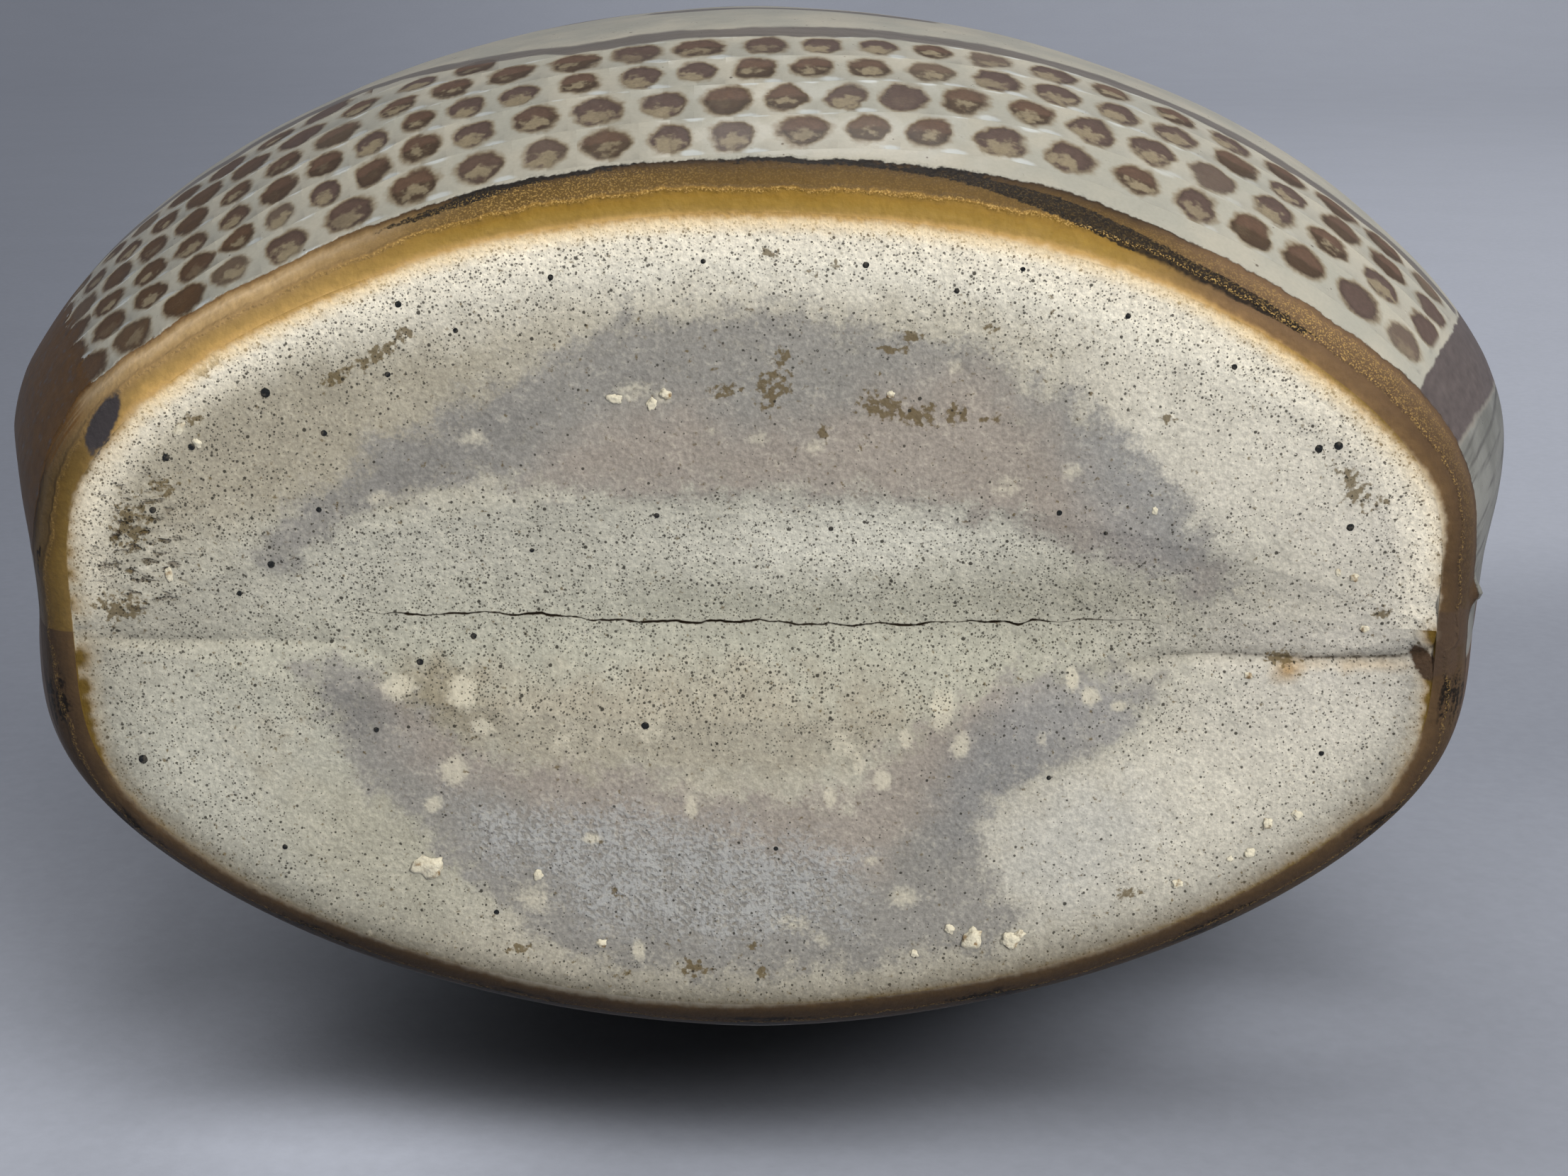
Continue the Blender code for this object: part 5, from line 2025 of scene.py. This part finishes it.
def neck_profile() -> List[Pair]:
    """The collar: a gently waisted tube between the shoulder and the lip."""
    low, high = SHAPE.shoulder_top + SEAT_GAP, SHAPE.shoulder_top + COLLAR_TOP
    outer = []
    for share in np.linspace(0, 1, 34):
        outer.append((SHAPE.neck_radius - WAIST * math.sin(share * math.pi), low + (high - low) * share))
    inner = [(SHAPE.bore_radius, high - (high - low) * share) for share in np.linspace(0, 1, 8)]
    return [(float(r), float(z)) for r, z in outer + inner]


def lip_profile() -> List[Pair]:
    """The lip: a rolled ring on the collar."""
    low, height = SHAPE.shoulder_top + COLLAR_TOP + SEAT_GAP, LIP_HEIGHT
    outer = []
    for turn in np.linspace(-math.pi / 2, math.pi / 2, 20):
        reach = SHAPE.neck_radius + LIP_BULGE * math.cos(turn)
        outer.append((reach, low + height * (1 + math.sin(turn)) / 2))
    inner = []
    for turn in np.linspace(math.pi / 2, 0, 12)[1:]:
        reach = SHAPE.neck_radius - (SHAPE.neck_radius - SHAPE.bore_radius * 0.97) * math.cos(turn)
        inner.append((reach, low + height * (1 + math.sin(turn)) / 2))
    return [(float(r), float(z)) for r, z in outer + inner + [(SHAPE.bore_radius, low)]]


@dataclass(frozen=True)
class Studio:
    """Camera, soft lights and the paper that the vase lies on."""

    eye: Tuple[float, float, float] = (3.77, -67.47, -237.26)
    tilt: float = 0.2587
    yaw: float = -0.0028
    roll: float = -0.0014
    lens: float = 36 * 3324 / 2212
    paper_level: float = 63.2
    paper_wide: float = 9.0
    paper_long: float = 8.0
    paper_before: float = 1.6
    bend_from: float = 2.4
    bend_radius: float = 1.6

    def camera(self) -> None:
        """Set up the camera low under the base, looking up into the vase's length."""
        level = math.cos(self.tilt)
        forward = Vector((math.sin(self.yaw) * level, math.sin(self.tilt), math.cos(self.yaw) * level))
        side = forward.cross(Vector((0, -1, 0))).normalized()
        up = side.cross(forward)
        right = side * math.cos(self.roll) + up * math.sin(self.roll)
        top = up * math.cos(self.roll) - side * math.sin(self.roll)
        data = bpy.data.cameras.new("camera")
        data.lens = self.lens
        data.sensor_width = 36
        data.sensor_fit = "HORIZONTAL"
        data.clip_start = 0.01
        camera = bpy.data.objects.new("camera", data)
        turn = Matrix((right, top, -forward)).transposed().to_4x4()
        camera.matrix_world = Matrix.Translation(Vector(self.eye) * MM) @ turn
        bpy.context.scene.collection.objects.link(camera)
        bpy.context.scene.camera = camera

    @staticmethod
    def softbox(name: str, place: Colour, aim: Colour, size: Pair, power: float, tone: Colour) -> Piece:
        """Add a rectangular soft light.

        Args:
            name: Its name.
            place: Where it stands, in metres.
            aim: What it points at, in metres.
            size: Its width and height, in metres.
            power: Its power in watts.
            tone: Its colour.

        Returns:
            The light's object.
        """
        data = bpy.data.lights.new(name, "AREA")
        data.shape = "RECTANGLE"
        data.size, data.size_y = size
        data.energy = power
        data.color = tone
        light = bpy.data.objects.new(name, data)
        light.location = place
        light.rotation_euler = (Vector(aim) - Vector(place)).to_track_quat("-Z", "Y").to_euler()
        bpy.context.scene.collection.objects.link(light)
        return light

    def lights(self) -> None:
        """Light the paper with a soft sun from above, and the vase with softboxes of its own."""
        warm, cool = (1.0, 0.985, 0.96), (0.97, 0.985, 1.0)
        vase = self.linked("vase_only", papers=False)
        papers = self.linked("papers_only", papers=True)
        for name, towards, spread, power in (
            ("paper_key", (0.20, -0.88, -0.43), 34, 1.12),
            ("paper_right", (0.45, -0.65, -0.60), 30, 0.98),
            ("paper_side", (-0.60, -0.75, -0.25), 80, 0.56),
            ("paper_back", (-0.30, -0.90, 0.30), 60, 0.75),
        ):
            data = bpy.data.lights.new(name, "SUN")
            data.energy = power
            data.angle = math.radians(spread)
            sun = bpy.data.objects.new(name, data)
            sun.rotation_euler = Vector(towards).to_track_quat("Z", "Y").to_euler()
            sun.light_linking.receiver_collection = papers
            bpy.context.scene.collection.objects.link(sun)
        boxes = (
            ("key", (0.62, -2.15, -0.95), (0, 0, 0.05), (1.9, 1.5), 30.0, warm),
            ("base_fill", (0.75, -0.6, -1.2), (0, 0, 0), (0.9, 0.7), 20.0, warm),
            ("glint", (0.10, -1.4, 0.45), (0, -0.05, 0.02), (0.5, 0.25), 2.0, cool),
            ("back_fill", (-0.45, 0.75, 1.45), (0, 0, 0.09), (0.9, 0.9), 15.0, cool),
            ("neck_fill", (0.5, -0.75, 1.15), (0, 0, 0.1), (0.9, 0.9), 9.0, warm),
            ("left_fill", (-1.3, -0.3, 0.35), (0, 0, 0.08), (0.7, 0.9), 4.0, cool),
            ("right_fill", (1.35, -0.1, 0.35), (0, 0, 0.08), (0.7, 0.9), 4.0, warm),
        )
        for name, place, aim, size, power, tone in boxes:
            light = self.softbox(name, place, aim, size, power, tone)
            light.light_linking.receiver_collection = vase
            light.light_linking.blocker_collection = vase
            light.data.cycles.max_bounces = 0
            light.visible_glossy = name == "glint"

    @staticmethod
    def linked(name: str, papers: bool) -> bpy.types.Collection:
        """Gather the papers, or all other pieces, for lights that reach them alone."""
        group = bpy.data.collections.new(name)
        for piece in bpy.context.scene.objects:
            if piece.type == "MESH" and piece.name.endswith("_paper") == papers:
                group.objects.link(piece)
        return group

    @staticmethod
    def world() -> None:
        """Show an even pale room to the camera and in reflections, with very little light of its own."""
        world = bpy.data.worlds.new("room")
        bpy.context.scene.world = world
        world.use_nodes = True
        tree = world.node_tree
        background = tree.nodes["Background"]
        background.inputs["Color"].default_value = (*linear(158, 161, 172), 1)
        path = tree.nodes.new("ShaderNodeLightPath")
        seen = tree.nodes.new("ShaderNodeMath")
        seen.operation = "MULTIPLY_ADD"
        seen.inputs[1].default_value = 0.4
        tree.links.new(path.outputs["Is Glossy Ray"], seen.inputs[0])
        tree.links.new(path.outputs["Is Camera Ray"], seen.inputs[2])
        strength = tree.nodes.new("ShaderNodeMapRange")
        tree.links.new(seen.outputs[0], strength.inputs["Value"])
        strength.inputs["To Min"].default_value = 0.03
        strength.inputs["To Max"].default_value = 1.0
        tree.links.new(strength.outputs[0], background.inputs["Strength"])

    def paper(self) -> None:
        """Lay the paper under the lying vase, and a sheet under its foot that only views from above see."""
        Bench.clear_selection()
        bpy.ops.mesh.primitive_grid_add(x_subdivisions=8, y_subdivisions=64, size=1.0, location=(0, 0, 0))
        sheet = bpy.context.object
        sheet.name = "lying_paper"
        level = self.paper_level * MM
        for corner in sheet.data.vertices:
            along = (corner.co.y + 0.5) * self.paper_long - self.paper_before
            climb = max(along - self.bend_from, 0.0)
            turn = min(climb / self.bend_radius, math.pi / 2)
            z = min(along, self.bend_from) + self.bend_radius * math.sin(turn)
            upright = max(climb - self.bend_radius * math.pi / 2, 0.0)
            y = level - self.bend_radius * (1 - math.cos(turn)) - upright
            corner.co = Vector((corner.co.x * self.paper_wide, y, z))
        sheet.data.materials.append(StudioPaper("grey_paper").material())
        self.face_towards(sheet, Vector((0, -1, 0)))
        bpy.ops.object.shade_smooth()
        sheet.visible_glossy = False
        bpy.ops.mesh.primitive_plane_add(size=8.0, location=(0, 0, 0))
        foot = bpy.context.object
        foot.name = "standing_paper"
        foot.data.materials.append(StudioPaper("foot_paper", seen_only=True).material())

    @staticmethod
    def face_towards(sheet: Piece, way: Vector) -> None:
        """Turn a sheet's faces so that they look a given way."""
        total = Vector()
        for face in sheet.data.polygons:
            total += face.normal * face.area
        if total.dot(way) < 0:
            Bench.choose(sheet)
            Bench.mode("EDIT")
            bpy.ops.mesh.select_all(action="SELECT")
            bpy.ops.mesh.flip_normals()
            Bench.mode("OBJECT")

    def build(self) -> None:
        """Set the whole stage."""
        self.camera()
        self.paper()
        self.world()
        self.lights()
        bpy.context.scene.view_settings.view_transform = "Standard"


class Vase:
    """The whole vase: walls, raw base, collar, lip and what the fire left on it."""

    INNER_FLOOR = 7.5

    def build(self) -> None:
        """Model and dress every piece in order."""
        glaze = DottedGlaze().material()
        clay = RawClay().material()
        inside = PlainGlaze("inner_glaze").material()
        for half, node in ((Half.FRONT, "front_shell"), (Half.BACK, "back_shell")):
            side = half.name.lower()
            wall = OuterWall(half).build(f"{side}_wall")
            Bench.dress(wall, Slot.GLAZE, glaze, inside)
            self.line_inside(wall)
            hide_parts(node)
            slab = BaseSlab(half).build(f"{side}_base")
            Bench.dress(slab, Slot.CLAY, clay)
            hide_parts(node)
        neck = Turned("neck", neck_profile()).build()
        Bench.dress(neck, Slot.GLAZE, PlainGlaze("neck_glaze", drip_from=163.0).material())
        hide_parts("neck_collar")
        lip = Turned("lip", lip_profile(), wobble=0.2).build()
        Bench.dress(lip, Slot.IRON, IronGlaze("lip_glaze").material())
        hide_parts("mouth_rim")
        slab_guide = BaseSlab(Half.FRONT)
        melt = IronGlaze("speck_melt", dark=linear(30, 32, 32), amber=linear(70, 66, 58), grain=2.5)
        Bench.dress(IronSpecks().build(slab_guide), Slot.IRON, melt.material())
        Bench.dress(KilnCrumbs().build(slab_guide), Slot.CLAY, GritClay().material())
        coils = PlainGlaze("coil_glaze", pale=linear(186, 180, 164), cool=linear(160, 152, 136))
        coil_clay = coils.material()
        for name in ("base_seam_coil", "right_seam_coil", "left_seam_coil"):
            coil = frame["nodes"][name]
            for seat in coil.material_slots:
                seat.material = coil_clay

    @staticmethod
    def line_inside(wall: Piece) -> None:
        """Give the faces inside the wall the plain glaze of the second slot."""
        for face in wall.data.polygons:
            middle = face.center
            inward = face.normal.x * middle.x + face.normal.y * middle.y < 0
            if inward and middle.z > Vase.INNER_FLOOR * MM:
                face.material_index = 1


def main() -> None:
    """Build the vase and its stage."""
    logging.basicConfig(level=logging.INFO, format="%(message)s")
    Vase().build()
    Studio().build()


if __name__ == "__main__":
    main()
